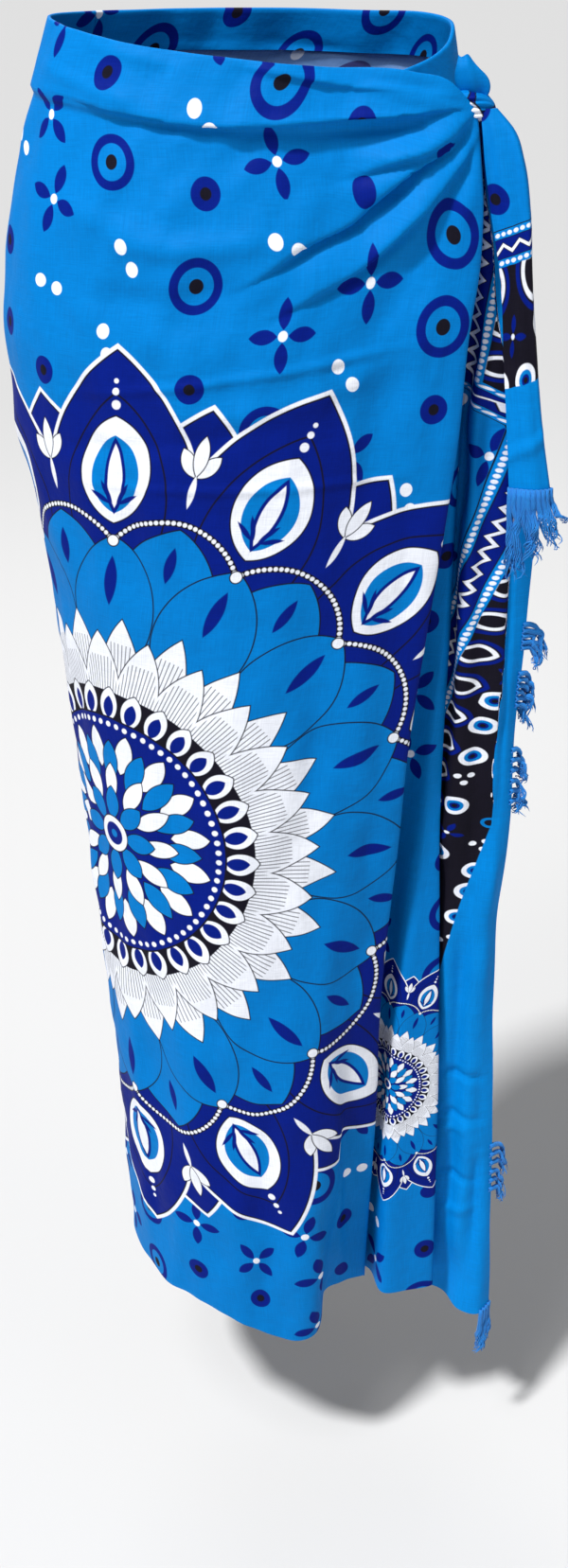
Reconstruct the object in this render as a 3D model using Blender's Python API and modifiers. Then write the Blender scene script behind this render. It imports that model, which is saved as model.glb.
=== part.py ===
"""A printed sarong, wound round the hips and tied at the left hip, as its own hollow cloth form.

Metres, +Z up. The origin is the centre of the waist opening. The front faces -Y, and +X is the
wearer's left, where the knot is. The cloth is one rectangle: a closed curve of cloth is worked out
at each height from two short tables, and each stretch of it that shows is a wall of its own.
"""
import bmesh
import bpy
import numpy as np
from collections import namedtuple
from math import cos, pi, radians, sin

# Driving dimensions
MM = 0.001
WALL = 1.6 * MM
GAP = 0.3 * MM
CLEARANCE = 1.5 * MM
SEAM_ANGLE = radians(-35)
UNDERLAP_ANGLE = radians(62)
UNDERLAP_DEPTH = 54 * MM
TURN_RADIUS = 2.4 * MM
TURN_LENGTH = 1.9 * MM
CRUMB = 1e-9

# The round form in millimetres, from the waist down
Round = namedtuple("Round", "height left right front back")
ROUNDS = [
    Round(20, -121, 130, 84, 88),
    Round(0, -126, 134, 87, 92),
    Round(-30, -134, 139, 92, 98),
    Round(-60, -143.5, 144, 97, 104),
    Round(-120, -159.5, 157, 107, 117),
    Round(-180, -168, 166, 115, 125),
    Round(-250, -165.5, 167, 118, 126),
    Round(-350, -151, 161, 120, 119),
    Round(-500, -137, 154, 121, 110),
    Round(-650, -127, 149, 122, 107),
    Round(-800, -117.5, 147, 124, 109),
    Round(-950, -110.5, 146, 126, 114),
    Round(-1050, -107, 146, 127, 117),
]

# The hanging folds in millimetres: the front's turned edge, the middle fold's ridge and edge, the
# valley behind it, and the end's ridge, middle and fringed edge. Crest is how far before its edge the
# front leaves the round form, bulge moves it out there, and recess is how deep it goes back behind
Fall = namedtuple(
    "Fall",
    "height edge_x edge_y crest bulge recess ridge_x ridge_y fold_x fold_y valley_x valley_y"
    " end_x end_y middle_x middle_y fringe_x fringe_y",
)
FALLS = [
    Fall(-40, 144, -66, 84, 6, 12, 139, -51, 143, -47, 145, -40, 149, -50, 153, -51, 157, -49),
    Fall(-70, 148, -71, 82, 6, 13, 142, -54, 146, -50, 147, -42, 152, -55, 157, -56, 163, -54),
    Fall(-100, 151, -76, 78, 6, 14, 143, -57, 147, -53, 149, -46, 154, -60, 160, -60, 170, -57),
    Fall(-140, 151, -82, 72, 4, 15, 142, -62, 147, -58, 149, -51, 155.5, -66, 165, -65, 177, -60),
    Fall(-190, 145, -87, 62, 3, 17, 140, -66, 146, -62, 149, -55, 155.5, -71, 170, -68, 183, -62),
    Fall(-250, 141.5, -89, 54, 3, 19, 139, -67, 145, -62, 148, -54, 154, -73, 178, -69, 193, -62),
    Fall(-320, 134, -91, 48, 2, 22, 140, -68, 144.5, -62, 147, -54, 152.5, -74, 182, -70, 200, -62),
    Fall(-400, 124, -92, 45, 2, 27, 140, -68, 144.5, -62, 146, -54, 152, -73, 183, -69, 199, -62),
    Fall(-480, 115, -92, 45, 1, 30, 134, -70, 143, -64, 144, -56, 150, -71, 187, -67, 196, -61),
    Fall(-560, 110, -90, 45, 1, 32, 128, -72, 143, -67, 142, -57, 150, -67, 188, -66, 197, -60),
    Fall(-640, 104, -88, 45, 0, 32, 122, -75, 146, -68, 141, -57, 152, -64, 184, -65, 192, -59),
    Fall(-720, 100, -86, 45, -1, 30, 117, -78, 148.5, -70, 140, -57, 152.5, -62, 182, -65, 193, -60),
    Fall(-800, 100, -82, 45, -4, 26, 113, -81, 151, -72, 140, -57, 153.5, -61, 183, -66, 197, -61),
    Fall(-880, 98, -77, 45, -9, 21, 111, -85, 152, -75, 141, -58, 157, -61, 187, -70, 200, -64),
    Fall(-950, 96, -71, 45, -14, 17, 110, -87, 153, -77, 142, -59, 161, -62, 191, -74, 202, -68),
    Fall(-1050, 94, -64, 45, -19, 13, 109, -89, 154, -80, 144, -61, 168, -63, 196, -78, 206, -72),
]

# Upper edge, lower line of the rolled waistband and hem by place round the front, in millimetres.
# Place runs from 0 at the seam on the right hip to 1 at the front's turned edge
Edge = namedtuple("Edge", "place top band hem")
FRONT_EDGES = [
    Edge(0.00, 0, -36, -988),
    Edge(0.20, -1, -40, -987),
    Edge(0.35, -7, -46, -988),
    Edge(0.55, -18, -54, -992),
    Edge(0.75, -26, -57, -1018),
    Edge(0.85, -29, -55, -1001),
    Edge(0.885, -34, -54, -998),
    Edge(0.91, -46, -56, -998),
    Edge(0.93, -54, -60, -999),
    Edge(1.00, -56, -62, -1002),
]
BACK_EDGES = [
    Edge(0.00, 0, -36, -988),
    Edge(0.40, 0, -38, -1002),
    Edge(0.70, -6, -42, -1006),
    Edge(0.85, -24, -50, -1000),
    Edge(1.00, -40, -56, -992),
]
MIDDLE_EDGES = [
    Edge(0.0, -56, -62, -1002),
    Edge(0.4, -56, -62, -998),
    Edge(0.7, -56, -62, -1002),
    Edge(1.0, -56, -62, -1000),
]
END_EDGES = [
    Edge(0.0, -56, -62, -1000),
    Edge(0.4, -56, -62, -1012),
    Edge(0.6, -56, -62, -1030),
    Edge(0.8, -56, -62, -1036),
    Edge(1.0, -56, -62, -1030),
]

# Folds that run from the knot across the front. Each is a curve in the view from the front, from
# x0, z0 to x1, z1 in millimetres, with its sag at half way, its half width and its height
Crease = namedtuple("Crease", "x0 z0 x1 z1 sag half_width height")
FRONT_CREASES = [
    Crease(140, -56, -5, -150, 14, 9, -4.5),
    Crease(140, -62, 20, -172, 14, 13, 4.5),
    Crease(140, -52, 20, -112, 6, 10, 3.5),
    Crease(142, -70, 70, -200, 16, 12, -3.0),
    Crease(144, -80, 95, -260, 16, 12, 3.0),
    Crease(138, -50, -60, -84, 2, 12, -2.0),
    Crease(30, -700, 52, -1040, 0, 26, 5.0),
    Crease(-30, -560, -62, -1040, -8, 22, 3.0),
    Crease(-66, -620, -92, -1040, -6, 14, -3.5),
]
BACK_CREASES = [
    Crease(150, -60, -20, -170, 18, 14, 3.5),
    Crease(150, -70, 10, -240, 24, 14, -3.0),
    Crease(150, -90, 50, -330, 24, 16, 3.5),
    Crease(-20, -240, -34, -1040, 0, 30, 4.0),
    Crease(50, -320, 44, -1040, 0, 26, -4.5),
    Crease(100, -380, 96, -1040, 0, 22, 4.5),
]
BAND_RISE = 3.2 * MM

# The tail that hangs from the knot, in millimetres
Tail = namedtuple("Tail", "height left right face")
TAILS = [
    Tail(-50, 148, 158, -72),
    Tail(-62, 149, 169, -77),
    Tail(-80, 151, 176, -81),
    Tail(-110, 156, 181.5, -84),
    Tail(-150, 164, 185, -86),
    Tail(-200, 169, 191, -87),
    Tail(-250, 174, 198, -88),
    Tail(-292, 178, 206, -88),
]
TAIL_FOLD = 7 * MM
TAIL_DEPTH = 5.8 * MM
TAIL_HEM = -292 * MM

# The ear that stands up out of the knot, in millimetres
Ear = namedtuple("Ear", "height left right face")
EARS = [
    Ear(-20, 134, 143, -59),
    Ear(-25, 133, 147, -62),
    Ear(-31, 132, 152, -63),
    Ear(-40, 134, 154, -62),
    Ear(-47, 139, 151, -59),
]
EAR_ROWS = 8

# Knot
KNOT_CENTRE = (144 * MM, -58 * MM, -49 * MM)
KNOT_RADII = (15 * MM, 17 * MM, 9 * MM)
KNOT_REACH = 20 * MM
KNOT_TILT = radians(-16)
KNOT_PLEATS = 5
KNOT_PLEAT_DEPTH = 0.09

# Fringe on the end's upright edge: from and to in millimetres of height, the number of strands, and
# how far they reach down, out and to the front
Tuft = namedtuple("Tuft", "name start end strands drop reach lean")
TUFTS = [
    Tuft("end_fringe_upper", -396, -418, 5, 24, 10, 6),
    Tuft("end_fringe_middle", -434, -464, 6, 27, 9, 0),
    Tuft("end_fringe_ragged", -496, -548, 6, 20, 6, 4),
    Tuft("end_fringe_lower", -862, -915, 6, 26, 12, 2),
]
STRAND_WIDTH = 1.7 * MM
STRAND_SPACE = 1.5 * MM
STRAND_TAPER = 0.55
STRAND_STEPS = 4
STRAND_LAYER = 1.5 * MM
STRIP_HEIGHT = 4 * MM
TAIL_STRAND_DROP = 66 * MM
TAIL_STRANDS_REACH = 15 * MM
TIP_STRANDS = 4
TIP_STRAND_DROP = 48 * MM

# Numbers of rows and columns in the walls
BAND_ROWS = 4
LOWER_ROWS = 25
ROW_POWER = 1.4
SEAM_STEP = 0.12
TAIL_ROWS = 12
TAIL_FACE_COLUMNS = 8
ROUND_POINTS = 11

COLLECTION_NAME = "sarong"


def clear_scene():
    for item in list(bpy.data.objects):
        bpy.data.objects.remove(item)
    for group in list(bpy.data.collections):
        bpy.data.collections.remove(group)


def add_collection(name):
    group = bpy.data.collections.new(name)
    bpy.context.scene.collection.children.link(group)
    return group


def cloth_material(name, colour, roughness):
    material = bpy.data.materials.new(name)
    material.use_nodes = True
    shader = material.node_tree.nodes["Principled BSDF"]
    shader.inputs["Base Color"].default_value = (*colour, 1.0)
    shader.inputs["Roughness"].default_value = roughness
    shader.inputs["Metallic"].default_value = 0.0
    return material


def smooth_read(keys, values, at, end_order=1):
    """Read a column between its rows along one smooth curve. Keys rise."""
    slopes = np.gradient(values, keys, edge_order=end_order)
    at = np.clip(at, keys[0], keys[-1])
    index = np.clip(np.searchsorted(keys, at, side="right") - 1, 0, len(keys) - 2)
    step = keys[index + 1] - keys[index]
    t = (at - keys[index]) / step
    start = (1 + 2 * t) * (1 - t) ** 2 * values[index] + t * (1 - t) ** 2 * step * slopes[index]
    end = t * t * (3 - 2 * t) * values[index + 1] - t * t * (1 - t) * step * slopes[index + 1]
    return start + end


def table_row(table, height):
    """One row of a table of heights, in metres, read at any height."""
    heights = np.array([row.height for row in table][::-1]) * MM
    row = {}
    for column in table[0]._fields[1:]:
        values = np.array([getattr(line, column) for line in table][::-1]) * MM
        row[column] = float(smooth_read(heights, values, height))
    return type(table[0])(height=height, **row)


def edge_column(edges, column, place):
    places = np.array([edge.place for edge in edges])
    values = np.array([getattr(edge, column) for edge in edges]) * MM
    return smooth_read(places, values, place)


def round_point(form, angle):
    """A point of the round form. The angle is 0 at the right hip and 90 degrees at the front."""
    centre = (form.left + form.right) / 2
    half = (form.right - form.left) / 2
    depth = form.front if angle > 0 else form.back
    return np.array([centre - half * cos(angle), -depth * sin(angle)])


def angle_at(form, x):
    centre = (form.left + form.right) / 2
    half = (form.right - form.left) / 2
    return np.arccos(np.clip(-(x - centre) / half, -1, 1))


def unit(vector):
    return vector / max(np.linalg.norm(vector), CRUMB)


def turn(point, heading, hand):
    """Three points round a fold edge: in, over and back. Hand is 1 for a left turn, -1 for a right."""
    side = np.array([heading[1], -heading[0]]) * TURN_RADIUS * hand
    back = point - heading * TURN_LENGTH
    return [back + side, point, back - side]


def outer_section(height):
    """The outer cloth at one height, from the seam on the right hip to the fringed edge."""
    form = table_row(ROUNDS, height)
    fall = table_row(FALLS, height)
    edge = np.array([fall.edge_x, fall.edge_y])
    crest_angle = angle_at(form, fall.edge_x - fall.crest)
    angles = np.linspace(SEAM_ANGLE, crest_angle, ROUND_POINTS)
    points = [round_point(form, angle) for angle in angles]
    crest = points[-1]
    along = unit(edge - crest)
    outward = np.array([along[1], -along[0]])
    points.append((crest + edge) / 2 + outward * fall.bulge)
    bend = points[-1]
    points += turn(edge, unit(edge - bend), 1)
    inner = edge + np.array([-0.62 * fall.recess - 6 * MM, fall.recess])
    inner_turn = turn(inner, unit(inner - edge), -1)
    points.append((points[-1] + inner_turn[0]) / 2)
    split_first = len(points) - 1
    points += inner_turn
    ridge = np.array([fall.ridge_x, fall.ridge_y])
    under = np.array([(inner[0] + 2 * ridge[0]) / 3, inner[1] * 0.75 + ridge[1] * 0.25])
    points.append(under)
    points.append(ridge)
    fold = np.array([fall.fold_x, fall.fold_y])
    points.append((ridge + fold) / 2 + np.array([0.0, -1.5 * MM]))
    points.append(fold)
    valley = np.array([fall.valley_x, fall.valley_y])
    end_ridge = np.array([fall.end_x, fall.end_y])
    valley_turn = turn(valley, unit(valley * 2 - fold - end_ridge), -1)
    points.append((fold + valley_turn[0]) / 2)
    split_second = len(points) - 1
    points += valley_turn
    points.append(end_ridge)
    middle = np.array([fall.middle_x, fall.middle_y])
    points.append((end_ridge + middle) / 2 + np.array([0.0, -1.0 * MM]))
    points.append(middle)
    points.append(np.array([fall.fringe_x, fall.fringe_y]))
    return np.array(points), split_first, split_second


def inner_section(height):
    """The cloth from the seam round the back, over the left hip and on under the front."""
    form = table_row(ROUNDS, height)
    points = [round_point(form, angle) for angle in np.linspace(SEAM_ANGLE, -pi, ROUND_POINTS)]
    centre = (form.left + form.right) / 2
    half = (form.right - form.left) / 2
    for angle in np.linspace(0, UNDERLAP_ANGLE, 5)[1:]:
        points.append(np.array([centre + half * cos(angle), -UNDERLAP_DEPTH * sin(angle)]))
    return np.array(points)


def curve_at(points, places):
    """A smooth curve through the points, read at places given as point numbers with fractions."""
    chords = np.linalg.norm(np.diff(points, axis=0), axis=1)
    stations = np.concatenate([[0.0], np.cumsum(np.sqrt(chords))])
    numbers = np.arange(len(points))
    at = np.interp(places, numbers, stations)
    return np.stack([smooth_read(stations, column, at, 2) for column in points.T], axis=-1)


def spread(*stretches):
    """Places along a curve: each stretch is its first and last point number and its steps."""
    places = []
    for start, end, steps in stretches:
        places += list(np.linspace(start, end, steps, endpoint=False))
    places.append(stretches[-1][1])
    return np.array(places)


def row_heights(edges, shares):
    """Heights of a wall's rows, column by column, from its upper edge to its hem."""
    top = edge_column(edges, "top", shares)
    band = edge_column(edges, "band", shares)
    hem = edge_column(edges, "hem", shares)
    rows = [top + (band - top) * step / BAND_ROWS for step in range(BAND_ROWS)]
    rows += [band + (hem - band) * (step / LOWER_ROWS) ** ROW_POWER for step in range(LOWER_ROWS + 1)]
    return np.array(rows)


def wall_grid(section, places, heights):
    """Points of a wall by row and column, each read from the section at its own height."""
    levels = np.linspace(heights.min(), heights.max(), 90)
    curves = np.array([curve_at(section(level), places) for level in levels])
    grid = np.empty((*heights.shape, 3))
    for column in range(len(places)):
        for axis in range(2):
            grid[:, column, axis] = np.interp(heights[:, column], levels, curves[:, column, axis])
    grid[:, :, 2] = heights
    return grid


def outward_normals(grid):
    """Level directions out of the cloth, at every point of a wall."""
    along = np.gradient(grid, axis=1)
    normals = np.stack([along[:, :, 1], -along[:, :, 0], np.zeros(along.shape[:2])], axis=-1)
    return normals / np.maximum(np.linalg.norm(normals, axis=2, keepdims=True), CRUMB)


def crease_relief(grid, creases):
    """How far the folds from the knot move each point out, from its place in the front view."""
    relief = np.zeros(grid.shape[:2])
    for crease in creases:
        steps = np.linspace(0, 1, 24)
        line_x = (crease.x0 + (crease.x1 - crease.x0) * steps) * MM
        line_z = (crease.z0 + (crease.z1 - crease.z0) * steps - 4 * crease.sag * steps * (1 - steps)) * MM
        apart = np.hypot(grid[:, :, 0, None] - line_x, grid[:, :, 2, None] - line_z)
        nearest = apart.argmin(axis=2)
        distance = apart.min(axis=2)
        share = steps[nearest]
        taper = np.clip(share * 6, 0.25, 1) * np.clip((1 - share) * 3, 0, 1)
        relief += crease.height * MM * taper * np.exp(-(distance / (crease.half_width * MM)) ** 2)
    return relief


def band_relief(rows):
    """The rolled waistband stands proud and drops back at its lower line."""
    relief = np.zeros(rows)
    relief[: BAND_ROWS + 1] = BAND_RISE * np.sin(np.linspace(0.15, 1.0, BAND_ROWS + 1) * pi / 2)
    relief[BAND_ROWS + 1] = -0.25 * BAND_RISE
    return relief[:, None]


def trim(grid, first, last):
    """Move a wall's side edges in by half a seam gap where it meets the next stretch."""
    if first:
        step = grid[:, 1] - grid[:, 0]
        grid[:, 0] += step / np.linalg.norm(step, axis=1, keepdims=True) * GAP / 2
    if last:
        step = grid[:, -2] - grid[:, -1]
        grid[:, -1] += step / np.linalg.norm(step, axis=1, keepdims=True) * GAP / 2
    return grid


def grown(grid):
    """The same wall with its borders moved out by the clearance."""
    wide = grid.copy()
    for axis in (0, 1):
        wide = np.moveaxis(wide, axis, 0)
        for edge, inside in ((0, 1), (-1, -2)):
            step = wide[edge] - wide[inside]
            wide[edge] += step / np.linalg.norm(step, axis=-1, keepdims=True) * CLEARANCE
        wide = np.moveaxis(wide, 0, axis)
    return wide


def add_object(name, mesh, group, material):
    item = bpy.data.objects.new(name, mesh)
    group.objects.link(item)
    if material is not None:
        mesh.materials.append(material)
    return item


def cloth_wall(name, grid, group, material, thickness=WALL):
    """A wall of cloth on a grid of points, rows from the upper edge down."""
    rows, columns = grid.shape[:2]
    shape = bmesh.new()
    bmesh.ops.create_grid(shape, x_segments=columns - 1, y_segments=rows - 1, size=1)
    for vert in shape.verts:
        column = round((vert.co.x + 1) / 2 * (columns - 1))
        row = round((1 - vert.co.y) / 2 * (rows - 1))
        vert.co = grid[row, column]
    mesh = bpy.data.meshes.new(name)
    shape.to_mesh(mesh)
    shape.free()
    mesh.shade_smooth()
    item = add_object(name, mesh, group, material)
    shell = item.modifiers.new("wall", "SOLIDIFY")
    shell.thickness = thickness
    shell.offset = 0
    return item


def front_grid():
    """The front, over its turned edge and half way along its return."""
    split = outer_section(-0.5)[1]
    crest = ROUND_POINTS - 1
    places = spread(
        (0, SEAM_STEP, 1),
        (SEAM_STEP, crest, 25),
        (crest, crest + 2, 4),
        (crest + 2, crest + 4, 5),
        (crest + 4, split - SEAM_STEP, 1),
        (split - SEAM_STEP, split, 1),
    )
    shares = np.clip(places / (crest + 3), 0, 1)
    heights = row_heights(FRONT_EDGES, shares)
    grid = wall_grid(lambda level: outer_section(level)[0], places, heights)
    before_edge = np.clip((crest + 2.5 - places) / 1.5, 0, 1)
    relief = crease_relief(grid, FRONT_CREASES) + band_relief(len(heights))
    grid += outward_normals(grid) * (relief * before_edge)[:, :, None]
    return trim(grid, True, True)


def middle_grid():
    """The fold beside the front's edge, from the front's return to the valley behind its own edge."""
    first, second = outer_section(-0.5)[1:]
    places = spread(
        (first, first + SEAM_STEP, 1),
        (first + SEAM_STEP, first + 3, 5),
        (first + 3, first + 5, 4),
        (first + 5, first + 7, 5),
        (first + 7, second - SEAM_STEP, 1),
        (second - SEAM_STEP, second, 1),
    )
    shares = (places - first) / (second - first)
    heights = row_heights(MIDDLE_EDGES, shares)
    return trim(wall_grid(lambda level: outer_section(level)[0], places, heights), True, True)


def end_grid():
    """The hanging end, from the valley to its fringed edge."""
    points, first, second = outer_section(-0.5)
    last = len(points) - 1
    places = spread((second, second + SEAM_STEP, 1), (second + SEAM_STEP, second + 3, 5), (second + 3, last, 7))
    shares = (places - second) / (last - second)
    heights = row_heights(END_EDGES, shares)
    return trim(wall_grid(lambda level: outer_section(level)[0], places, heights), True, False)


def back_grid():
    """The stretch round the back and on under the front, written from its hidden end to the seam."""
    last = len(inner_section(-0.5)) - 1
    round_end = ROUND_POINTS - 1
    places = spread((0, SEAM_STEP, 1), (SEAM_STEP, round_end, 21), (round_end, last, 6))
    shares = places / last
    heights = row_heights(BACK_EDGES, shares)
    grid = wall_grid(inner_section, places, heights)
    before_tuck = np.clip((round_end + 0.5 - places) / 2, 0, 1)
    relief = crease_relief(grid, BACK_CREASES) + band_relief(len(heights))
    grid -= outward_normals(grid) * (relief * before_tuck)[:, :, None]
    return trim(grid, True, False)[:, ::-1]


def tail_grid():
    """The tail: a narrow face, turned at its right edge into a short return behind it."""
    heights = np.linspace(TAILS[0].height * MM, TAIL_HEM, TAIL_ROWS + 1)
    grid = []
    for height in heights:
        row = table_row(TAILS, height)
        width = row.right - row.left
        fold = min(TAIL_FOLD, width * 0.5)
        depth = min(TAIL_DEPTH, width * 0.35)
        section = np.array([
            [row.left, row.face + 0.5 * depth],
            [row.left + 0.30 * width, row.face],
            [row.left + 0.72 * width, row.face],
            [row.right - 0.2 * depth, row.face + 0.2 * depth],
            [row.right, row.face + 0.55 * depth],
            [row.right - 0.25 * depth, row.face + 0.9 * depth],
            [row.right - fold, row.face + depth],
        ])
        level = curve_at(section, spread((0, 3, 6), (3, 5, 4), (5, 6, 1)))
        grid.append(np.column_stack([level, np.full(len(level), height)]))
    return np.array(grid)


def ear_grid():
    """The corner that stands up out of the knot, open at its back."""
    heights = np.linspace(EARS[0].height * MM, EARS[-1].height * MM, EAR_ROWS)
    grid = []
    for height in heights:
        row = table_row(EARS, height)
        width = row.right - row.left
        depth = 0.45 * width
        section = np.array([
            [row.left + 0.14 * width, row.face + depth],
            [row.left, row.face + 0.5 * depth],
            [row.left + 0.30 * width, row.face + 0.05 * depth],
            [row.left + 0.66 * width, row.face],
            [row.right, row.face + 0.5 * depth],
            [row.right - 0.12 * width, row.face + 1.1 * depth],
        ])
        level = curve_at(section, np.linspace(0, len(section) - 1, 10))
        grid.append(np.column_stack([level, np.full(len(level), height)]))
    return np.array(grid)


def build_knot(walls, group, cutters, material):
    """A pleated lump, cut a seam gap clear of every wall that runs into it."""
    shape = bmesh.new()
    bmesh.ops.create_uvsphere(shape, u_segments=20, v_segments=12, radius=1)
    for vert in shape.verts:
        around = np.arctan2(vert.co.z, vert.co.y)
        size = 1 + KNOT_PLEAT_DEPTH * cos(KNOT_PLEATS * around) * (1 - vert.co.x ** 2)
        x = vert.co.x * KNOT_RADII[0]
        y = vert.co.y * KNOT_RADII[1] * size
        z = vert.co.z * KNOT_RADII[2] * size
        vert.co.x = KNOT_CENTRE[0] + x * cos(KNOT_TILT) - z * sin(KNOT_TILT)
        vert.co.y = KNOT_CENTRE[1] + y
        vert.co.z = KNOT_CENTRE[2] + x * sin(KNOT_TILT) + z * cos(KNOT_TILT)
    mesh = bpy.data.meshes.new("knot")
    shape.to_mesh(mesh)
    shape.free()
    mesh.shade_smooth()
    knot = add_object("knot", mesh, group, material)
    for name, grid in walls.items():
        below = np.flatnonzero(grid[:, :, 2].max(axis=1) < KNOT_CENTRE[2] - KNOT_REACH)
        rows = below[0] + 1 if len(below) else len(grid)
        cutter = cloth_wall(name + "_clearance", grown(grid[:rows]), cutters, None, WALL + 2 * GAP)
        cutter.hide_render = True
        cutter.display_type = "WIRE"
        cut = knot.modifiers.new(name, "BOOLEAN")
        cut.operation = "DIFFERENCE"
        cut.object = cutter
    return knot


def fringe(name, roots, out, normal, paths, group, material):
    """Strands on a narrow backing strip. Roots are the corners of the strands' feet along the cloth's
    edge, two for each strand, and paths gives each strand's centre line past the strip."""
    shape = bmesh.new()
    feet = []
    for root in roots:
        foot = root + out * (GAP + STRIP_HEIGHT)
        feet.append([shape.verts.new(foot + normal * side * WALL / 2) for side in (1, -1)])
    faces = [
        shape.faces.new((left[0], right[0], right[1], left[1]))
        for left, right in zip(feet, feet[1:])
    ]
    raised = bmesh.ops.extrude_face_region(shape, geom=faces, use_keep_orig=True)["geom"]
    for vert in raised:
        if isinstance(vert, bmesh.types.BMVert):
            vert.co -= type(vert.co)(out * STRIP_HEIGHT)
    for face, path in zip(faces[::2], paths):
        grow_strand(shape, face, path, normal)
    bmesh.ops.recalc_face_normals(shape, faces=shape.faces)
    mesh = bpy.data.meshes.new(name)
    shape.to_mesh(mesh)
    shape.free()
    return add_object(name, mesh, group, material)


def grow_strand(shape, face, path, normal):
    """Draw a strip's end face out along a path, as a tapered strand of four sides."""
    centre = np.array(face.calc_center_median())
    across = unit(np.cross(path[0] - centre, normal))
    corners = [np.array(vert.co) - centre for vert in face.verts]
    signs = [(np.sign(corner @ across), np.sign(corner @ normal)) for corner in corners]
    tip = face
    line = [centre, *path, 2 * path[-1] - path[-2]]
    for step, point in enumerate(path, start=1):
        width_axis = np.cross(line[step + 1] - line[step - 1], normal)
        if width_axis @ across < 0:
            width_axis = -width_axis
        across = unit(width_axis)
        tip = bmesh.ops.extrude_discrete_faces(shape, faces=[tip])["faces"][0]
        size = 1 - (1 - STRAND_TAPER) * step / len(path)
        for vert, (wide, deep) in zip(tip.verts, signs):
            vert.co = point + across * wide * STRAND_WIDTH / 2 * size + normal * deep * WALL / 2 * size


def line_reader(points):
    """A function that gives the point at a distance along a line of points."""
    stations = np.concatenate([[0.0], np.cumsum(np.linalg.norm(np.diff(points, axis=0), axis=1))])

    def read(distance):
        return np.array([np.interp(distance, stations, points[:, axis]) for axis in range(3)])

    return read, stations[-1]


def build_hem_fringe(name, hem, strands, start, strand_end, group, material):
    """Strands along a lower edge, from start on. Strand_end gives each one's sway and drop at its tip."""
    read = line_reader(hem)[0]
    out = np.array([0.0, 0.0, -1.0])
    normal = np.array([0.0, -1.0, 0.0])
    pitch = STRAND_WIDTH + STRAND_SPACE
    roots = [read(start + strand * pitch + foot) for strand in range(strands) for foot in (0, STRAND_WIDTH)]
    paths = []
    for strand in range(strands):
        root = (roots[2 * strand] + roots[2 * strand + 1]) / 2 + out * (GAP + STRIP_HEIGHT)
        reach, drop = strand_end(strand / (strands - 1), strand % 2)
        path = []
        for step in range(1, STRAND_STEPS + 1):
            t = step / STRAND_STEPS
            sway = 1.5 * MM * sin(5 * t + 0.3 * strand)
            path.append(root + np.array([reach * t ** 1.3, sway * t, -drop * t]))
        paths.append(path)
    return fringe(name, roots, out, normal, paths, group, material)


def tail_strand_end(share, odd):
    """The tail's strands sweep out to the wearer's left, the far ones more."""
    return TAIL_STRANDS_REACH * (0.1 + 0.9 * share), TAIL_STRAND_DROP * (1 - 0.62 * share - 0.08 * odd)


def tip_strand_end(share, odd):
    return -3 * MM * (1 - share), TIP_STRAND_DROP * (1 - 0.15 * odd)


def build_edge_tuft(tuft, edge, inside, group, material):
    """Strands on a stretch of the end's upright edge. Each turns down outside the one below it."""
    heights = edge[:, 2]
    start = tuft.start * MM
    pitch = (tuft.end - tuft.start) * MM / tuft.strands

    def edge_point(line, height):
        return np.array([np.interp(-height, -heights, line[:, axis]) for axis in range(3)])

    middle = (tuft.start + tuft.end) / 2 * MM
    out = edge_point(edge, middle) - edge_point(inside, middle)
    out[2] = 0.0
    out = unit(out)
    normal = np.array([out[1], -out[0], 0.0])
    feet = [start + strand * pitch - foot for strand in range(tuft.strands) for foot in (0, STRAND_WIDTH)]
    roots = [edge_point(edge, foot) for foot in feet]
    paths = []
    for strand in range(tuft.strands):
        root = (roots[2 * strand] + roots[2 * strand + 1]) / 2 + out * (GAP + STRIP_HEIGHT)
        reach = (3 + (tuft.reach - 3) * (1 - strand / tuft.strands)) * MM
        drop = tuft.drop * MM * (0.8 + 0.2 * (strand % 3) / 2)
        layer = STRAND_LAYER * (1 if strand % 2 else -1)
        path = []
        for step in range(1, STRAND_STEPS + 1):
            t = step / STRAND_STEPS
            front = normal * (tuft.lean * MM * t + layer * min(2 * t, 1))
            path.append(root + out * reach * sin(t * pi / 2) + front + np.array([0.0, 0.0, -drop * t ** 1.7]))
        paths.append(path)
    return fringe(tuft.name, roots, out, normal, paths, group, material)


def main():
    clear_scene()
    group = add_collection(COLLECTION_NAME)
    cutters = add_collection("cutters")
    azure = cloth_material("printed_rayon", (0.0, 0.23, 0.62), 0.55)
    royal = cloth_material("printed_rayon_back", (0.01, 0.07, 0.42), 0.55)
    border = cloth_material("border_rayon", (0.0, 0.27, 0.66), 0.55)
    yarn = cloth_material("fringe_yarn", (0.0, 0.22, 0.55), 0.65)
    walls = {
        "wrap_front": front_grid(),
        "wrap_back": back_grid(),
        "fold_middle": middle_grid(),
        "end_fall": end_grid(),
        "tail": tail_grid(),
        "ear": ear_grid(),
    }
    finishes = {"wrap_back": royal, "end_fall": border, "tail": border}
    for name, grid in walls.items():
        cloth_wall(name, grid, group, finishes.get(name, azure))
    build_knot(walls, group, cutters, azure)
    pitch = STRAND_WIDTH + STRAND_SPACE
    tail_hem = walls["tail"][-1, :TAIL_FACE_COLUMNS]
    tail_strands = int((line_reader(tail_hem)[1] + STRAND_SPACE) / pitch)
    build_hem_fringe("tail_fringe", tail_hem, tail_strands, 0.0, tail_strand_end, group, yarn)
    end_hem = walls["end_fall"][-1]
    tip_start = line_reader(end_hem)[1] - TIP_STRANDS * pitch + STRAND_SPACE
    build_hem_fringe("tip_fringe", end_hem, TIP_STRANDS, tip_start, tip_strand_end, group, yarn)
    for tuft in TUFTS:
        build_edge_tuft(tuft, walls["end_fall"][:, -1], walls["end_fall"][:, -2], group, yarn)


main()
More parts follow.
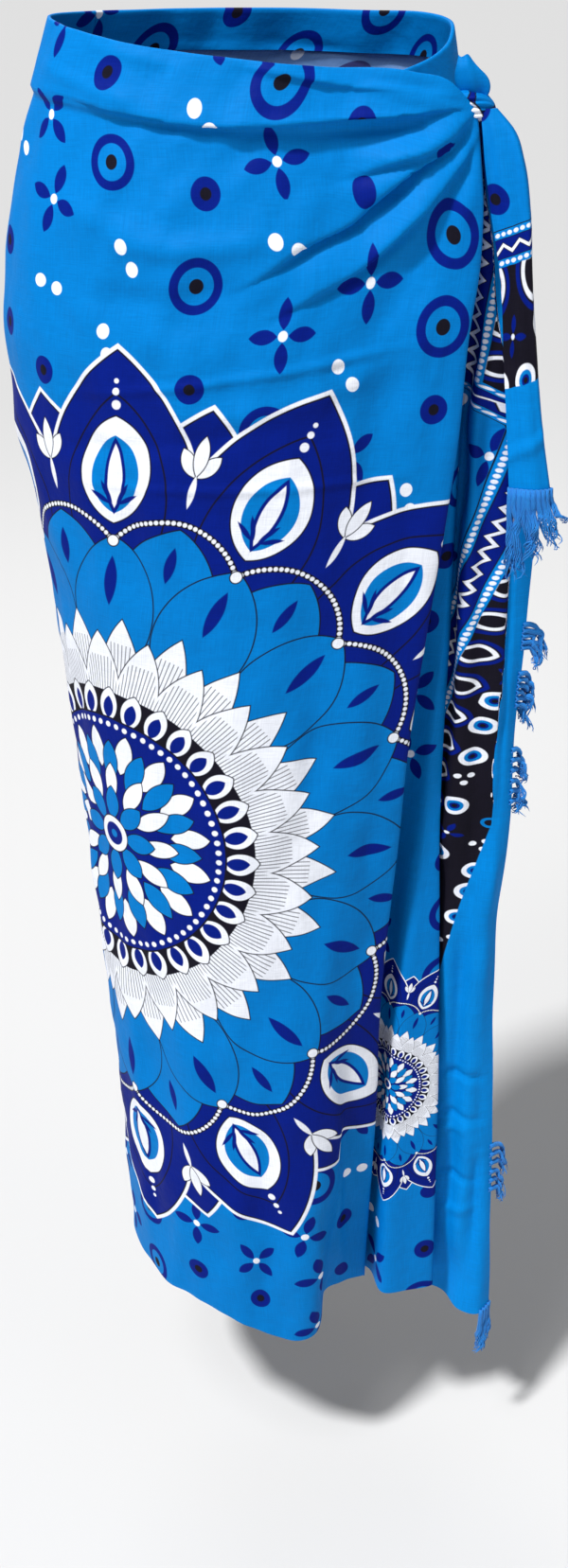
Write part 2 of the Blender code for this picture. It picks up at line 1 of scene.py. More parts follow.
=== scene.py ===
"""The looks of a printed sarong: thin cloth shells, printed rayon, yarn fringes, light and camera.

Metres, +Z up. The origin is the centre of the waist opening, the front faces -Y, and +X is the
wearer's left. Each shell follows the same closed curve of cloth, height by height, as its solid.
"""
from collections import namedtuple
from math import cos, pi, radians, sin

import bmesh
import bpy
import numpy as np
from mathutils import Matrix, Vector


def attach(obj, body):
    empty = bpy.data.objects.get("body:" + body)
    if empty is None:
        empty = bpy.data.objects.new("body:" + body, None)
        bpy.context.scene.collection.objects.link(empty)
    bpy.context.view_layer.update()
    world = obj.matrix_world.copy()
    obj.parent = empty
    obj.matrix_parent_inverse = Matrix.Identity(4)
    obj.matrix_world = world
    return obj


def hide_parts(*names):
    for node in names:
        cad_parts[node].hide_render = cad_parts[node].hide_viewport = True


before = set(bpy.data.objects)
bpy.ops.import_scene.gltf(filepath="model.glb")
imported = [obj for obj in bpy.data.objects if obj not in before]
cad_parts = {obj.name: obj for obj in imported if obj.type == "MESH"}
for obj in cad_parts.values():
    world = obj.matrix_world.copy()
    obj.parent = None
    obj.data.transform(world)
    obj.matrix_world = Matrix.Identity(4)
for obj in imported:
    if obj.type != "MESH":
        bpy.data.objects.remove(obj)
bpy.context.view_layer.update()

# Cloth
MM = 0.001
CLOTH = 0.5 * MM
SEAM_ANGLE = radians(-35)
UNDERLAP_ANGLE = radians(62)
UNDERLAP_DEPTH = 54 * MM
TURN_RADIUS = 2.4 * MM
TURN_LENGTH = 1.9 * MM
CRUMB = 1e-9

# Points of the level curves. The crest ends the round stretch, and the edge point is the front's edge
ROUND_POINTS = 11
UNDERLAP_POINTS = 5
CREST = ROUND_POINTS - 1
EDGE_POINT = CREST + 3
INNER_SLANT = 0.62
INNER_STEP = 6 * MM
FOLD_BULGE = np.array([0.0, -1.5 * MM])
END_BULGE = np.array([0.0, -1.0 * MM])
LEVELS = 120

# The round form in millimetres, from the waist down
Round = namedtuple("Round", "height left right front back")
ROUNDS = [
    Round(20, -121, 130, 84, 88),
    Round(0, -126, 134, 87, 92),
    Round(-30, -134, 139, 92, 98),
    Round(-60, -143.5, 144, 97, 104),
    Round(-120, -159.5, 157, 107, 117),
    Round(-180, -168, 166, 115, 125),
    Round(-250, -165.5, 167, 118, 126),
    Round(-350, -151, 161, 120, 119),
    Round(-500, -137, 154, 121, 110),
    Round(-650, -127, 149, 122, 107),
    Round(-800, -117.5, 147, 124, 109),
    Round(-950, -110.5, 146, 126, 114),
    Round(-1050, -107, 146, 127, 117),
]

# The hanging folds in millimetres: the front's turned edge, the middle fold's ridge and edge, the
# valley behind it, and the end's ridge, middle and fringed edge. Crest is how far before its edge the
# front leaves the round form, bulge moves it out there, and recess is how deep it goes back behind
Fall = namedtuple(
    "Fall",
    "height edge_x edge_y crest bulge recess ridge_x ridge_y fold_x fold_y valley_x valley_y"
    " end_x end_y middle_x middle_y fringe_x fringe_y",
)
FALLS = [
    Fall(-40, 144, -66, 84, 6, 12, 139, -51, 143, -47, 145, -40, 149, -50, 153, -51, 157, -49),
    Fall(-70, 148, -71, 82, 6, 13, 142, -54, 146, -50, 147, -42, 152, -55, 157, -56, 163, -54),
    Fall(-100, 151, -76, 78, 6, 14, 143, -57, 147, -53, 149, -46, 154, -60, 160, -60, 170, -57),
    Fall(-140, 151, -82, 72, 4, 15, 142, -62, 147, -58, 149, -51, 155.5, -66, 165, -65, 177, -60),
    Fall(-190, 145, -87, 62, 3, 17, 140, -66, 146, -62, 149, -55, 155.5, -71, 170, -68, 183, -62),
    Fall(-250, 141.5, -89, 54, 3, 19, 139, -67, 145, -62, 148, -54, 154, -73, 178, -69, 193, -62),
    Fall(-320, 134, -91, 48, 2, 22, 140, -68, 144.5, -62, 147, -54, 152.5, -74, 182, -70, 200, -62),
    Fall(-400, 124, -92, 45, 2, 27, 140, -68, 144.5, -62, 146, -54, 152, -73, 183, -69, 199, -62),
    Fall(-480, 115, -92, 45, 1, 30, 134, -70, 143, -64, 144, -56, 150, -71, 187, -67, 196, -61),
    Fall(-560, 110, -90, 45, 1, 32, 128, -72, 143, -67, 142, -57, 150, -67, 188, -66, 197, -60),
    Fall(-640, 104, -88, 45, 0, 32, 122, -75, 146, -68, 141, -57, 152, -64, 184, -65, 192, -59),
    Fall(-720, 100, -86, 45, -1, 30, 117, -78, 148.5, -70, 140, -57, 152.5, -62, 182, -65, 193, -60),
    Fall(-800, 100, -82, 45, -4, 26, 113, -81, 151, -72, 140, -57, 153.5, -61, 183, -66, 197, -61),
    Fall(-880, 98, -77, 45, -9, 21, 111, -85, 152, -75, 141, -58, 157, -61, 187, -70, 200, -64),
    Fall(-950, 96, -71, 45, -14, 17, 110, -87, 153, -77, 142, -59, 161, -62, 191, -74, 202, -68),
    Fall(-1050, 94, -64, 45, -19, 13, 109, -89, 154, -80, 144, -61, 168, -63, 196, -78, 206, -72),
]

# Upper edge, lower line of the rolled waistband and hem by place along each stretch, in millimetres
Edge = namedtuple("Edge", "place top band hem")
FRONT_EDGES = [
    Edge(0.00, 0, -36, -988),
    Edge(0.20, -1, -40, -987),
    Edge(0.35, -7, -46, -988),
    Edge(0.55, -18, -54, -992),
    Edge(0.75, -26, -57, -1018),
    Edge(0.85, -29, -55, -1001),
    Edge(0.885, -34, -54, -998),
    Edge(0.91, -46, -56, -998),
    Edge(0.93, -54, -60, -999),
    Edge(1.00, -56, -62, -1002),
]
BACK_EDGES = [
    Edge(0.00, 0, -36, -988),
    Edge(0.40, 0, -38, -1002),
    Edge(0.70, -6, -42, -1006),
    Edge(0.85, -24, -50, -1000),
    Edge(1.00, -40, -56, -992),
]
MIDDLE_EDGES = [
    Edge(0.0, -56, -62, -1002),
    Edge(0.4, -56, -62, -998),
    Edge(0.7, -56, -62, -1002),
    Edge(1.0, -56, -62, -1000),
]
END_EDGES = [
    Edge(0.0, -56, -62, -1000),
    Edge(0.4, -56, -62, -1012),
    Edge(0.6, -56, -62, -1030),
    Edge(0.8, -56, -62, -1036),
    Edge(1.0, -56, -62, -1030),
]

# Columns of the sheets, stretch by stretch: first and last point number on the level curve, and steps
FRONT_COLUMNS = ((0, 5, 32), (5, 10, 78), (10, 12, 34), (12, 14, 12), (14, 15, 3))
MIDDLE_COLUMNS = ((15, 18, 20), (18, 20, 16), (20, 22, 14), (22, 23, 4))
END_COLUMNS = ((23, 26, 14), (26, 30, 30))
BACK_COLUMNS = ((0, 10, 96), (10, 14, 30))

# Rows of the sheets: in the rolled waistband, on down to the end of the waist's folds where those have
# rows of their own, and on to the hem. A power above 1 sets the last ones closer towards the waist
Rows = namedtuple("Rows", "band folds lower power")
FRONT_ROWS = Rows(20, 118, 76, 1.0)
BACK_ROWS = Rows(16, 0, 110, 1.4)
MIDDLE_ROWS = Rows(8, 0, 150, 1.4)
END_ROWS = Rows(8, 0, 380, 1.4)
FOLDS_END = -0.30

# The rolled waistband: where its round starts, how far it stands proud, how soon it drops back at its
# lower line in millimetres, and the hollow under it as a share of its height. It turns in at the top
BAND_START = 0.15
BAND_RISE = 3.2 * MM
BAND_DROP = 3.0
BAND_HOLLOW = 0.25
BAND_HOLLOW_LENGTH = 12
WAIST_TURN_ROWS = 12
WAIST_TURN_GAP = 2.2 * MM
WAIST_TURN_STEPS = 4

# Place along the front and the back, in points from the hip seam, by which their folds are full
SEAM_FADE = 1.2

# Main folds. Each is a curve in the view from the front, from x0, z0 to x1, z1 in millimetres, with
# its sag at half way, its half width and its height. It swells from its start and runs out at its end
CREASE_SWELL = 6
CREASE_LEAST = 0.25
CREASE_RUN_OUT = 3
Crease = namedtuple("Crease", "x0 z0 x1 z1 sag half_width height")
FRONT_CREASES = [
    Crease(140, -56, -5, -150, 14, 9, -4.5),
    Crease(140, -62, 20, -172, 14, 13, 4.5),
    Crease(140, -52, 20, -112, 6, 10, 3.5),
    Crease(142, -70, 70, -200, 16, 12, -3.0),
    Crease(144, -80, 95, -260, 16, 12, 3.0),
    Crease(138, -50, -60, -84, 2, 12, -2.0),
    Crease(30, -700, 52, -1040, 0, 26, 5.0),
    Crease(-30, -560, -62, -1040, -8, 22, 3.0),
    Crease(-66, -620, -92, -1040, -6, 14, -3.5),
]
BACK_CREASES = [
    Crease(150, -60, -20, -170, 18, 14, 3.5),
    Crease(150, -70, 10, -240, 24, 14, -3.0),
    Crease(150, -90, 50, -330, 24, 16, 3.5),
    Crease(-20, -240, -34, -1040, 0, 30, 4.0),
    Crease(50, -320, 44, -1040, 0, 26, -4.5),
    Crease(100, -380, 96, -1040, 0, 22, 4.5),
]

# Fine folds that only the thin cloth has, in the same columns
FRONT_FINE = [
    Crease(136, -54, 60, -78, 4, 3.5, 3.1),
    Crease(138, -56, 48, -92, 6, 3.0, -2.3),
    Crease(140, -60, 92, -96, 4, 3.2, 3.5),
    Crease(140, -64, 70, -124, 8, 3.2, -2.7),
    Crease(142, -68, 92, -138, 8, 4.0, 3.1),
    Crease(143, -76, 108, -168, 8, 4.0, -2.7),
    Crease(145, -84, 122, -220, 6, 5.0, 3.1),
    Crease(138, -46, 20, -30, -3, 4.0, 2.3),
    Crease(126, -38, 48, -32, -2, 3.0, -2.0),
    Crease(60, -33, -10, -22, 0, 4.0, 1.8),
    Crease(134, -50, -20, -54, -1, 3.0, 2.2),
    Crease(-40, -24, -100, -12, 0, 5.0, 1.8),
    Crease(-60, -44, -134, -24, 2, 4.0, 1.6),
    Crease(-20, -130, -128, -98, 8, 10, 2.3),
    Crease(60, -150, -110, -172, 10, 12, -2.2),
    Crease(134, -50, 40, -62, 3, 5.0, -2.9),
    Crease(142, -58, 60, -104, 10, 4.5, -3.6),
    Crease(146, -74, 100, -150, 8, 4.5, -3.4),
    Crease(146, -84, 80, -196, 14, 6.0, 3.1),
    Crease(147, -96, 112, -230, 8, 6.0, -2.9),
    Crease(147, -110, 128, -300, 6, 7.0, 2.6),
    Crease(30, -120, -96, -128, 6, 8, 2.3),
    Crease(10, -150, -120, -160, 6, 9, -2.1),
    Crease(96, -200, -60, -232, 12, 8, 1.6),
    Crease(20, -240, -150, -262, 4, 7, -1.3),
    Crease(108, -190, -130, -226, 2, 3.0, 1.7),
    Crease(106, -276, -132, -284, 2, 3.0, 1.2),
    Crease(84, -300, 74, -620, 2, 14, 2.7),
    Crease(44, -330, 40, -700, 0, 18, -2.6),
    Crease(0, -360, -6, -760, 0, 16, 2.2),
    Crease(-50, -380, -54, -640, 0, 18, -2.0),
    Crease(62, -760, 74, -1040, 0, 6, 4.3),
    Crease(14, -760, 14, -1040, 0, 12, -2.9),
    Crease(-6, -820, -16, -1040, 0, 10, 2.3),
    Crease(-96, -700, -90, -1000, 0, 5, 2.7),
]
BACK_FINE = [
    Crease(148, -64, 60, -112, 12, 4.0, 2.4),
    Crease(148, -74, 70, -150, 14, 4.0, -2.0),
    Crease(150, -84, 84, -200, 14, 4.0, 2.1),
    Crease(150, -40, 10, -20, -2, 4.0, 1.8),
    Crease(140, -30, -80, -22, 0, 3.0, -1.4),
    Crease(140, -400, 134, -1000, 0, 12, 2.2),
    Crease(74, -420, 70, -1000, 0, 10, 2.1),
    Crease(14, -360, 6, -900, 0, 12, -2.0),
    Crease(-60, -300, -66, -1000, 0, 14, 2.0),
    Crease(-100, -420, -98, -1000, 0, 10, -1.8),
]

END_FINE = [
    Crease(150, -786, 194, -794, 0, 3.0, -2.7),
    Crease(152, -826, 196, -836, 0, 3.5, -2.4),
    Crease(150, -846, 180, -842, 0, 3.0, 1.9),
    Crease(150, -888, 190, -898, 0, 3.0, -2.7),
    Crease(158, -930, 192, -922, 0, 4.0, 1.9),
    Crease(187, -862, 184, -990, 0, 5.0, -3.8),
    Crease(176, -600, 178, -1060, 0, 7.0, 3.5),
    Crease(164, -640, 166, -1060, 0, 5.0, -2.9),
    Crease(172, -100, 188, -600, 0, 8.0, 3.2),
    Crease(184, -300, 187, -560, 0, 2.5, -3.2),
    Crease(186, -560, 186, -800, 0, 6.0, 2.6),
    Crease(160, -200, 172, -640, 0, 6.0, -2.6),
]
MIDDLE_FINE = [
    Crease(134, -100, 128, -520, 0, 6.0, 2.3),
    Crease(128, -420, 122, -1060, 0, 7.0, -3.1),
    Crease(142, -300, 138, -1060, 0, 5.0, 2.1),
    Crease(118, -640, 114, -1060, 0, 5.0, 2.3),
]

# Ripples of worn cloth: ranges of their lengths in metres and of the patches that they come and go in
RIPPLES = 26
RIPPLE_HEIGHT = 0.55 * MM
RIPPLE_LENGTHS = (0.018, 0.075)
RIPPLE_FULL_LENGTH = 0.05
RIPPLE_TURN = 0.7
RIPPLE_STRETCH = 0.6
PATCHES_ACROSS = (9, 26)
PATCHES_DOWN = (5, 19)
FRONT_SEED = 3
BACK_SEED = 5
END_SEED = 9

# Overlapped folds: the cloth above the line stands over the cloth below it. The points are x and z
# in millimetres from the knot on. Lip is the step out, width is how soon it fades away from the line,
# slip is how far it hangs over, and hidden is how much print the fold takes in
OVERLAP_STATIONS = 160
OVERLAP_SWELL = 12
OVERLAP_LEAST = 0.3
OVERLAP_RUN_OUT = 2.2
OVERLAP_EDGE = 0.7 * MM
OVERLAP_DIP = 0.45
OVERLAP_DIP_WIDTH = 0.6
HIDDEN_REACH = 7
Overlap = namedtuple("Overlap", "points lip width slip hidden")
OVERLAPS = [
    Overlap(
        [(143, -54), (128, -69), (109, -78), (86, -96), (65, -112), (37, -127), (16, -142), (-14, -158)],
        6.6, 12, 7.5, 12,
    ),
    Overlap(
        [(143, -48), (111, -49), (54, -53), (6, -56), (-33, -55), (-82, -49), (-111, -44), (-139, -41)],
        3.6, 12, 4.2, 8,
    ),
    Overlap([(143, -52), (122, -65), (101, -72), (78, -83), (58, -90)], 4.6, 7, 3.6, 3),
    Overlap([(146, -68), (130, -88), (108, -112), (80, -136), (44, -158), (6, -176)], 5.2, 11, 4.0, 0),
    Overlap([(140, -44), (110, -38), (60, -35), (20, -29), (-10, -24)], 1.8, 8, 1.4, 0),
]

# The tail that hangs from the knot, in millimetres
Tail = namedtuple("Tail", "height left right face")
TAILS = [
    Tail(-50, 148, 158, -72),
    Tail(-62, 149, 169, -77),
    Tail(-80, 151, 176, -81),
    Tail(-110, 156, 181.5, -84),
    Tail(-150, 164, 185, -86),
    Tail(-200, 169, 191, -87),
    Tail(-250, 174, 198, -88),
    Tail(-292, 178, 206, -88),
]
TAIL_FOLD = 7 * MM
TAIL_DEPTH = 5.8 * MM
TAIL_PRINT_PLACE = 0.395
TAIL_ROWS = 90
TAIL_COLUMNS = ((0, 3, 26), (3, 5, 12), (5, 6, 6))
TAIL_FRINGE_COLUMNS = 31
Wave = namedtuple("Wave", "height across down fade")
TAIL_WAVES = [Wave(1.9, 9, 1.4, 0.35), Wave(0.9, 21, -2.5, 0.6)]
CrossFold = namedtuple("CrossFold", "height down slant width")
TAIL_CREASES = [CrossFold(-1.8, 0.90, -0.10, 0.018), CrossFold(1.2, 0.62, 0.08, 0.03)]

# How far from the fringed edge of the print each height above the tail's hem is, in metres
TAIL_BAND_RISES = (0, 0.075, 0.153, 0.176, 0.30)
TAIL_BAND_WAYS = (0, 0.115, 0.173, 0.205, 0.36)
TAIL_BAND_TILT = 0.35

# The ear that stands up out of the knot, in millimetres
Ear = namedtuple("Ear", "height left right face")
EARS = [
    Ear(-20, 134, 143, -59),
    Ear(-25, 133, 147, -62),
    Ear(-31, 132, 152, -63),
    Ear(-40, 134, 154, -62),
    Ear(-47, 139, 151, -59),
]
EAR_ROWS = 26
EAR_COLUMNS = 40
EAR_LAST_POINT = 5
EAR_FOLD = 1.5 * MM
EAR_WAVE = 1.0 * MM
EAR_SLOPE = 7.0 * MM
EAR_TIP = 0.38

KNOT_CENTRE = (144 * MM, -58 * MM, -49 * MM)
KNOT_RADII = (15 * MM, 17 * MM, 9 * MM)
KNOT_TILT = radians(-16)
KNOT_PLEATS = 5
KNOT_PLEAT_DEPTH = 0.09
KNOT_FINE_PLEATS = 14
KNOT_FINE_DEPTH = 0.14

# Fringe on the end's upright edge: from and to in millimetres of height, the number of strands, and
# how far they reach down, out and to the front
Tuft = namedtuple("Tuft", "name start end strands drop reach lean")
TUFTS = [
    Tuft("end_fringe_upper", -396, -418, 5, 24, 10, 6),
    Tuft("end_fringe_middle", -434, -464, 6, 27, 9, 0),
    Tuft("end_fringe_ragged", -496, -548, 6, 20, 6, 4),
    Tuft("end_fringe_lower", -862, -915, 6, 26, 12, 2),
]
STRAND_WIDTH = 1.7 * MM
STRAND_SPACE = 1.5 * MM
STRAND_PITCH = STRAND_WIDTH + STRAND_SPACE
STRAND_LAYER = 1.5 * MM
STRIP_HEIGHT = 4 * MM
TAIL_STRAND_DROP = 66 * MM
TAIL_STRANDS_REACH = 15 * MM
TIP_STRANDS = 4
TIP_STRAND_DROP = 48 * MM
FRINGE_STEPS = 22
YARNS = 12
YARN_RADIUS = 0.55 * MM
YARN_LAY = 1.6 * MM
YARN_TWIST = 9
YARN_SIDES = 5
YARN_TUCK = 3 * MM
YARN_CURL = 0.6 * MM
YARN_FUZZ = 0.4 * MM
YARN_SIDEWAYS = np.array([0.31, 0.90, 0.30])
STRAND_SWAY = 1.5 * MM
STRAND_WAVE = 1.9 * MM
STRAND_CURL = 0.9 * MM

# Colours of the print, in linear light
TURQUOISE = (0.000, 0.180, 0.545)
AZURE = (0.000, 0.210, 0.620)
DEEP_AZURE = (0.004, 0.10, 0.42)
ROYAL = (0.001, 0.011, 0.200)
INK = (0.008, 0.007, 0.014)
WHITE = (0.820, 0.850, 0.930)
PALE_FLOOR = (0.66, 0.66, 0.66)

# The print, in metres on the flat cloth. Place is from the front's turned edge towards the right hip,
# height is from the waist
PRINT_EDGE = 0.5 * MM
Rosette = namedtuple("Rosette", "place height scale")
ROSETTE = Rosette(0.235, -0.560, 0.97)
SMALL_ROSETTES = [
    Rosette(-0.200, -0.790, 0.30),
    Rosette(0.840, -0.300, 0.42),
    Rosette(1.030, -0.760, 0.50),
    Rosette(0.640, -0.900, 0.34),
]
ROSETTE_REACH = 0.39
ROSETTE_EDGE = 0.7 * MM
MIDDLE_PRINT_PLACE = -0.14
END_PRINT_PLACE = -0.30
MOTIF_CELL = 0.053
MOTIF_JITTER = 0.24

# The rosette's rings of leaves, in metres: the number of leaves, how far they are turned as a share of
# one leaf's sector, each leaf's centre, half length and half width, its colour, and its outline
Ring = namedtuple("Ring", "leaves turned centre half_length half_width fill line line_width")
BUD_RINGS = [
    Ring(16, 0.0, 0.296, 0.038, 0.0265, WHITE, INK, 1.1 * MM),
    Ring(16, 0.0, 0.293, 0.028, 0.0185, TURQUOISE, TURQUOISE, 0.0),
    Ring(16, 0.0, 0.292, 0.023, 0.0060, WHITE, ROYAL, 2.6 * MM),
]
TURQUOISE_RINGS = [
    Ring(16, 0.5, 0.205, 0.058, 0.0400, TURQUOISE, INK, 1.0 * MM),
    Ring(16, 0.0, 0.192, 0.056, 0.0360, TURQUOISE, INK, 1.0 * MM),
    Ring(16, 0.0, 0.214, 0.019, 0.0050, ROYAL, None, 0.0),
    Ring(16, 0.5, 0.236, 0.014, 0.0040, ROYAL, None, 0.0),
]
SCALLOP_RINGS = [
    Ring(32, 0.0, 0.113, 0.014, 0.0088, WHITE, INK, 0.9 * MM),
    Ring(32, 0.0, 0.111, 0.009, 0.0050, ROYAL, ROYAL, 0.0),
]
MIDDLE_RINGS = [
    Ring(16, 0.5, 0.074, 0.017, 0.0080, WHITE, INK, 0.9 * MM),
    Ring(16, 0.0, 0.064, 0.018, 0.0078, TURQUOISE, INK, 0.9 * MM),
    Ring(12, 0.0, 0.046, 0.016, 0.0070, WHITE, INK, 0.9 * MM),
    Ring(8, 0.0, 0.028, 0.014, 0.0080, TURQUOISE, INK, 0.9 * MM),
]
OUTER_LEAF_FOOT = 0.150
BUD_RIB_ANGLES = (0.55, 1.05)
WHITE_LEAF_FOOT = 0.075
WHITE_LEAF_HALF_WIDTH = 0.0185
VEINS = 46.0
GARLAND_CENTRE = 0.213
GARLAND_RADIUS = 0.0545
GARLAND_BEAD = 1.60 * MM
GARLAND_REACH = 1.35
GARLAND_JOINT = 0.2445

# The border's bands, by where each starts on the way in from the fringed edge, in metres
BORDER_EDGE = 0.6 * MM
BORDER_START = 0.205
ZIGZAG_START = 0.1965
BLACK_BAND_START = 0.1732
ARCHES_END = 0.150
PLAIN_START = 0.1150
BEAD_PITCH = 5.0 * MM
BEAD_RADIUS = 1.85 * MM
ZIGZAG_PITCH = 13 * MM
ARCH_PITCH = 30 * MM
BORDER_CELL = 0.0255
BORDER_JITTER = 0.22

# The border on the hanging end: its slant, a shift up where the cloth is taken in, and the plain strip
# along the edge, in metres, with rises from the end's hem
END_LENGTH = 1.03
BORDER_SLANT = 0.235
BORDER_SWAY = 0.01
BORDER_ACROSS = 0.74
BORDER_ALONG_RISE = 1.156
BORDER_ALONG_ACROSS = 0.15
UPPER_SHIFT = 0.050
UPPER_SHIFT_RISE = 0.78
PLAIN_STRIP = 0.017
PLAIN_STRIP_RISE = 0.44
PLAIN_WAY = 0.02

# Weave and crumple of the cloth
WARP_SCALES = (1500, 55)
WEFT_SCALES = (60, 1700)
WEAVE_TONE = 0.34
WEAVE_DEPTH = 0.10 * MM
CRUMPLE_DEPTH = 2.0 * MM
REVERSE_SATURATION = 0.72

# Studio
FLOOR_HALF = 60
FLOOR = -1.19
SENSOR = 36
FOCAL_PIXELS = 1800
PHOTO_HEIGHT = 1657
CAMERA_PLACE = (0.025, -1.21, 0.045)
CAMERA_PITCH = 26.4
WORLD_LIGHT = 0.22
SUN_LIGHT = 3.5
SUN_SOFTNESS = radians(6)
SUN_TURN = (radians(31), 0, radians(-44))
Lamp = namedtuple("Lamp", "name place target width depth power")
LAMPS = [
    Lamp("key", (-0.55, -0.95, 1.20), (0, -0.05, -0.20), 0.5, 0.5, 10),
    Lamp("side", (1.70, -1.30, 0.40), (0.1, 0, -0.5), 0.9, 1.4, 4),
    Lamp("rear", (-0.6, 2.2, 1.2), (0, 0, -0.4), 1.6, 1.2, 14),
]


def smooth_read(keys, values, at, end_order=1):
    """Read a column between its rows along one smooth curve. Keys rise."""
    slopes = np.gradient(values, keys, edge_order=end_order)
    at = np.clip(at, keys[0], keys[-1])
    index = np.clip(np.searchsorted(keys, at, side="right") - 1, 0, len(keys) - 2)
    step = keys[index + 1] - keys[index]
    t = (at - keys[index]) / step
    start = (1 + 2 * t) * (1 - t) ** 2 * values[index] + t * (1 - t) ** 2 * step * slopes[index]
    end = t * t * (3 - 2 * t) * values[index + 1] - t * t * (1 - t) * step * slopes[index + 1]
    return start + end


def table_row(table, height):
    """One row of a table of heights, in metres, read at any height."""
    heights = np.array([row.height for row in table][::-1]) * MM
    row = {}
    for column in table[0]._fields[1:]:
        values = np.array([getattr(line, column) for line in table][::-1]) * MM
        row[column] = float(smooth_read(heights, values, height))
    return type(table[0])(height=height, **row)


def edge_column(edges, column, place):
    places = np.array([edge.place for edge in edges])
    values = np.array([getattr(edge, column) for edge in edges]) * MM
    return smooth_read(places, values, place)


def round_point(form, angle):
    """A point of the round form. The angle is 0 at the right hip and 90 degrees at the front."""
    centre = (form.left + form.right) / 2
    half = (form.right - form.left) / 2
    depth = form.front if angle > 0 else form.back
    return np.array([centre - half * cos(angle), -depth * sin(angle)])


def angle_at(form, x):
    centre = (form.left + form.right) / 2
    half = (form.right - form.left) / 2
    return np.arccos(np.clip(-(x - centre) / half, -1, 1))


def unit(vector):
    return vector / max(np.linalg.norm(vector), CRUMB)


def turn(point, heading, hand):
    """Three points round a fold edge: in, over and back. Hand is 1 for a left turn, -1 for a right."""
    side = np.array([heading[1], -heading[0]]) * TURN_RADIUS * hand
    back = point - heading * TURN_LENGTH
    return [back + side, point, back - side]


def outer_section(height):
    """The outer cloth at one height, from the seam on the right hip to the fringed edge."""
    form = table_row(ROUNDS, height)
    fall = table_row(FALLS, height)
    edge = np.array([fall.edge_x, fall.edge_y])
    crest_angle = angle_at(form, fall.edge_x - fall.crest)
    angles = np.linspace(SEAM_ANGLE, crest_angle, ROUND_POINTS)
    points = [round_point(form, angle) for angle in angles]
    along = unit(edge - points[CREST])
    outward = np.array([along[1], -along[0]])
    bend = (points[CREST] + edge) / 2 + outward * fall.bulge
    points.append(bend)
    points += turn(edge, unit(edge - bend), 1)
    inner = edge + np.array([-INNER_SLANT * fall.recess - INNER_STEP, fall.recess])
    inner_turn = turn(inner, unit(inner - edge), -1)
    points.append((points[-1] + inner_turn[0]) / 2)
    points += inner_turn
    ridge = np.array([fall.ridge_x, fall.ridge_y])
    under = np.array([(inner[0] + 2 * ridge[0]) / 3, (3 * inner[1] + ridge[1]) / 4])
    fold = np.array([fall.fold_x, fall.fold_y])
    points += [under, ridge, (ridge + fold) / 2 + FOLD_BULGE, fold]
    valley = np.array([fall.valley_x, fall.valley_y])
    end_ridge = np.array([fall.end_x, fall.end_y])
    valley_turn = turn(valley, unit(valley * 2 - fold - end_ridge), -1)
    points.append((fold + valley_turn[0]) / 2)
    points += valley_turn
    middle = np.array([fall.middle_x, fall.middle_y])
    points += [end_ridge, (end_ridge + middle) / 2 + END_BULGE, middle]
    points.append(np.array([fall.fringe_x, fall.fringe_y]))
    return np.array(points)


def inner_section(height):
    """The cloth from the seam round the back, over the left hip and on under the front."""
    form = table_row(ROUNDS, height)
    points = [round_point(form, angle) for angle in np.linspace(SEAM_ANGLE, -pi, ROUND_POINTS)]
    centre = (form.left + form.right) / 2
    half = (form.right - form.left) / 2
    for angle in np.linspace(0, UNDERLAP_ANGLE, UNDERLAP_POINTS)[1:]:
        points.append(np.array([centre + half * cos(angle), -UNDERLAP_DEPTH * sin(angle)]))
    return np.array(points)


def curve_at(points, places):
    """A smooth curve through the points, read at places given as point numbers with fractions."""
    chords = np.linalg.norm(np.diff(points, axis=0), axis=1)
    stations = np.concatenate([[0.0], np.cumsum(np.sqrt(chords))])
    numbers = np.arange(len(points))
    at = np.interp(places, numbers, stations)
    return np.stack([smooth_read(stations, column, at, 2) for column in points.T], axis=-1)


def spread(*stretches):
    """Places along a curve: each stretch is its first and last point number and its steps."""
    places = []
    for start, end, steps in stretches:
        places += list(np.linspace(start, end, steps, endpoint=False))
    places.append(stretches[-1][1])
    return np.array(places)


def row_heights(edges, shares, rows):
    """Heights of a wall's rows, column by column, from its upper edge to its hem."""
    top, band, hem = [edge_column(edges, column, shares) for column in ("top", "band", "hem")]
    heights = [top + (band - top) * step / rows.band for step in range(rows.band)]
    start = band
    if rows.folds:
        heights += [band + (FOLDS_END - band) * step / rows.folds for step in range(rows.folds)]
        start = FOLDS_END
    heights += [start + (hem - start) * (step / rows.lower) ** rows.power for step in range(rows.lower + 1)]
    return np.array(heights)


def band_profile(heights, edges, shares):
    """The rolled waistband stands proud and drops back at its lower line."""
    top = edge_column(edges, "top", shares)
    band = edge_column(edges, "band", shares)
    share = (heights - top) / (band - top)
    past = (band - heights) / MM
    rolled = np.sin(np.clip(BAND_START + (1 - BAND_START) * share, 0, 1) * pi / 2)
    dropping = (1 + BAND_HOLLOW) * np.exp(-(past / BAND_DROP) ** 2)
    hollow = BAND_HOLLOW * np.exp(-past / BAND_HOLLOW_LENGTH)
    return BAND_RISE * np.where(share < 1, rolled, dropping - hollow)


def wall_grid(section, places, heights):
    """Points of a wall by row and column, each read from the section at its own height."""
    levels = np.linspace(heights.min(), heights.max(), LEVELS)
    curves = np.array([curve_at(section(level), places) for level in levels])
    grid = np.empty((*heights.shape, 3))
    for column in range(len(places)):
        for axis in range(2):
            grid[:, column, axis] = np.interp(heights[:, column], levels, curves[:, column, axis])
    grid[:, :, 2] = heights
    return grid


def outward_normals(grid):
    """Level directions out of the cloth, at every point of a wall."""
    along = np.gradient(grid, axis=1)
    normals = np.stack([along[:, :, 1], -along[:, :, 0], np.zeros(along.shape[:2])], axis=-1)
    return normals / np.maximum(np.linalg.norm(normals, axis=2, keepdims=True), CRUMB)


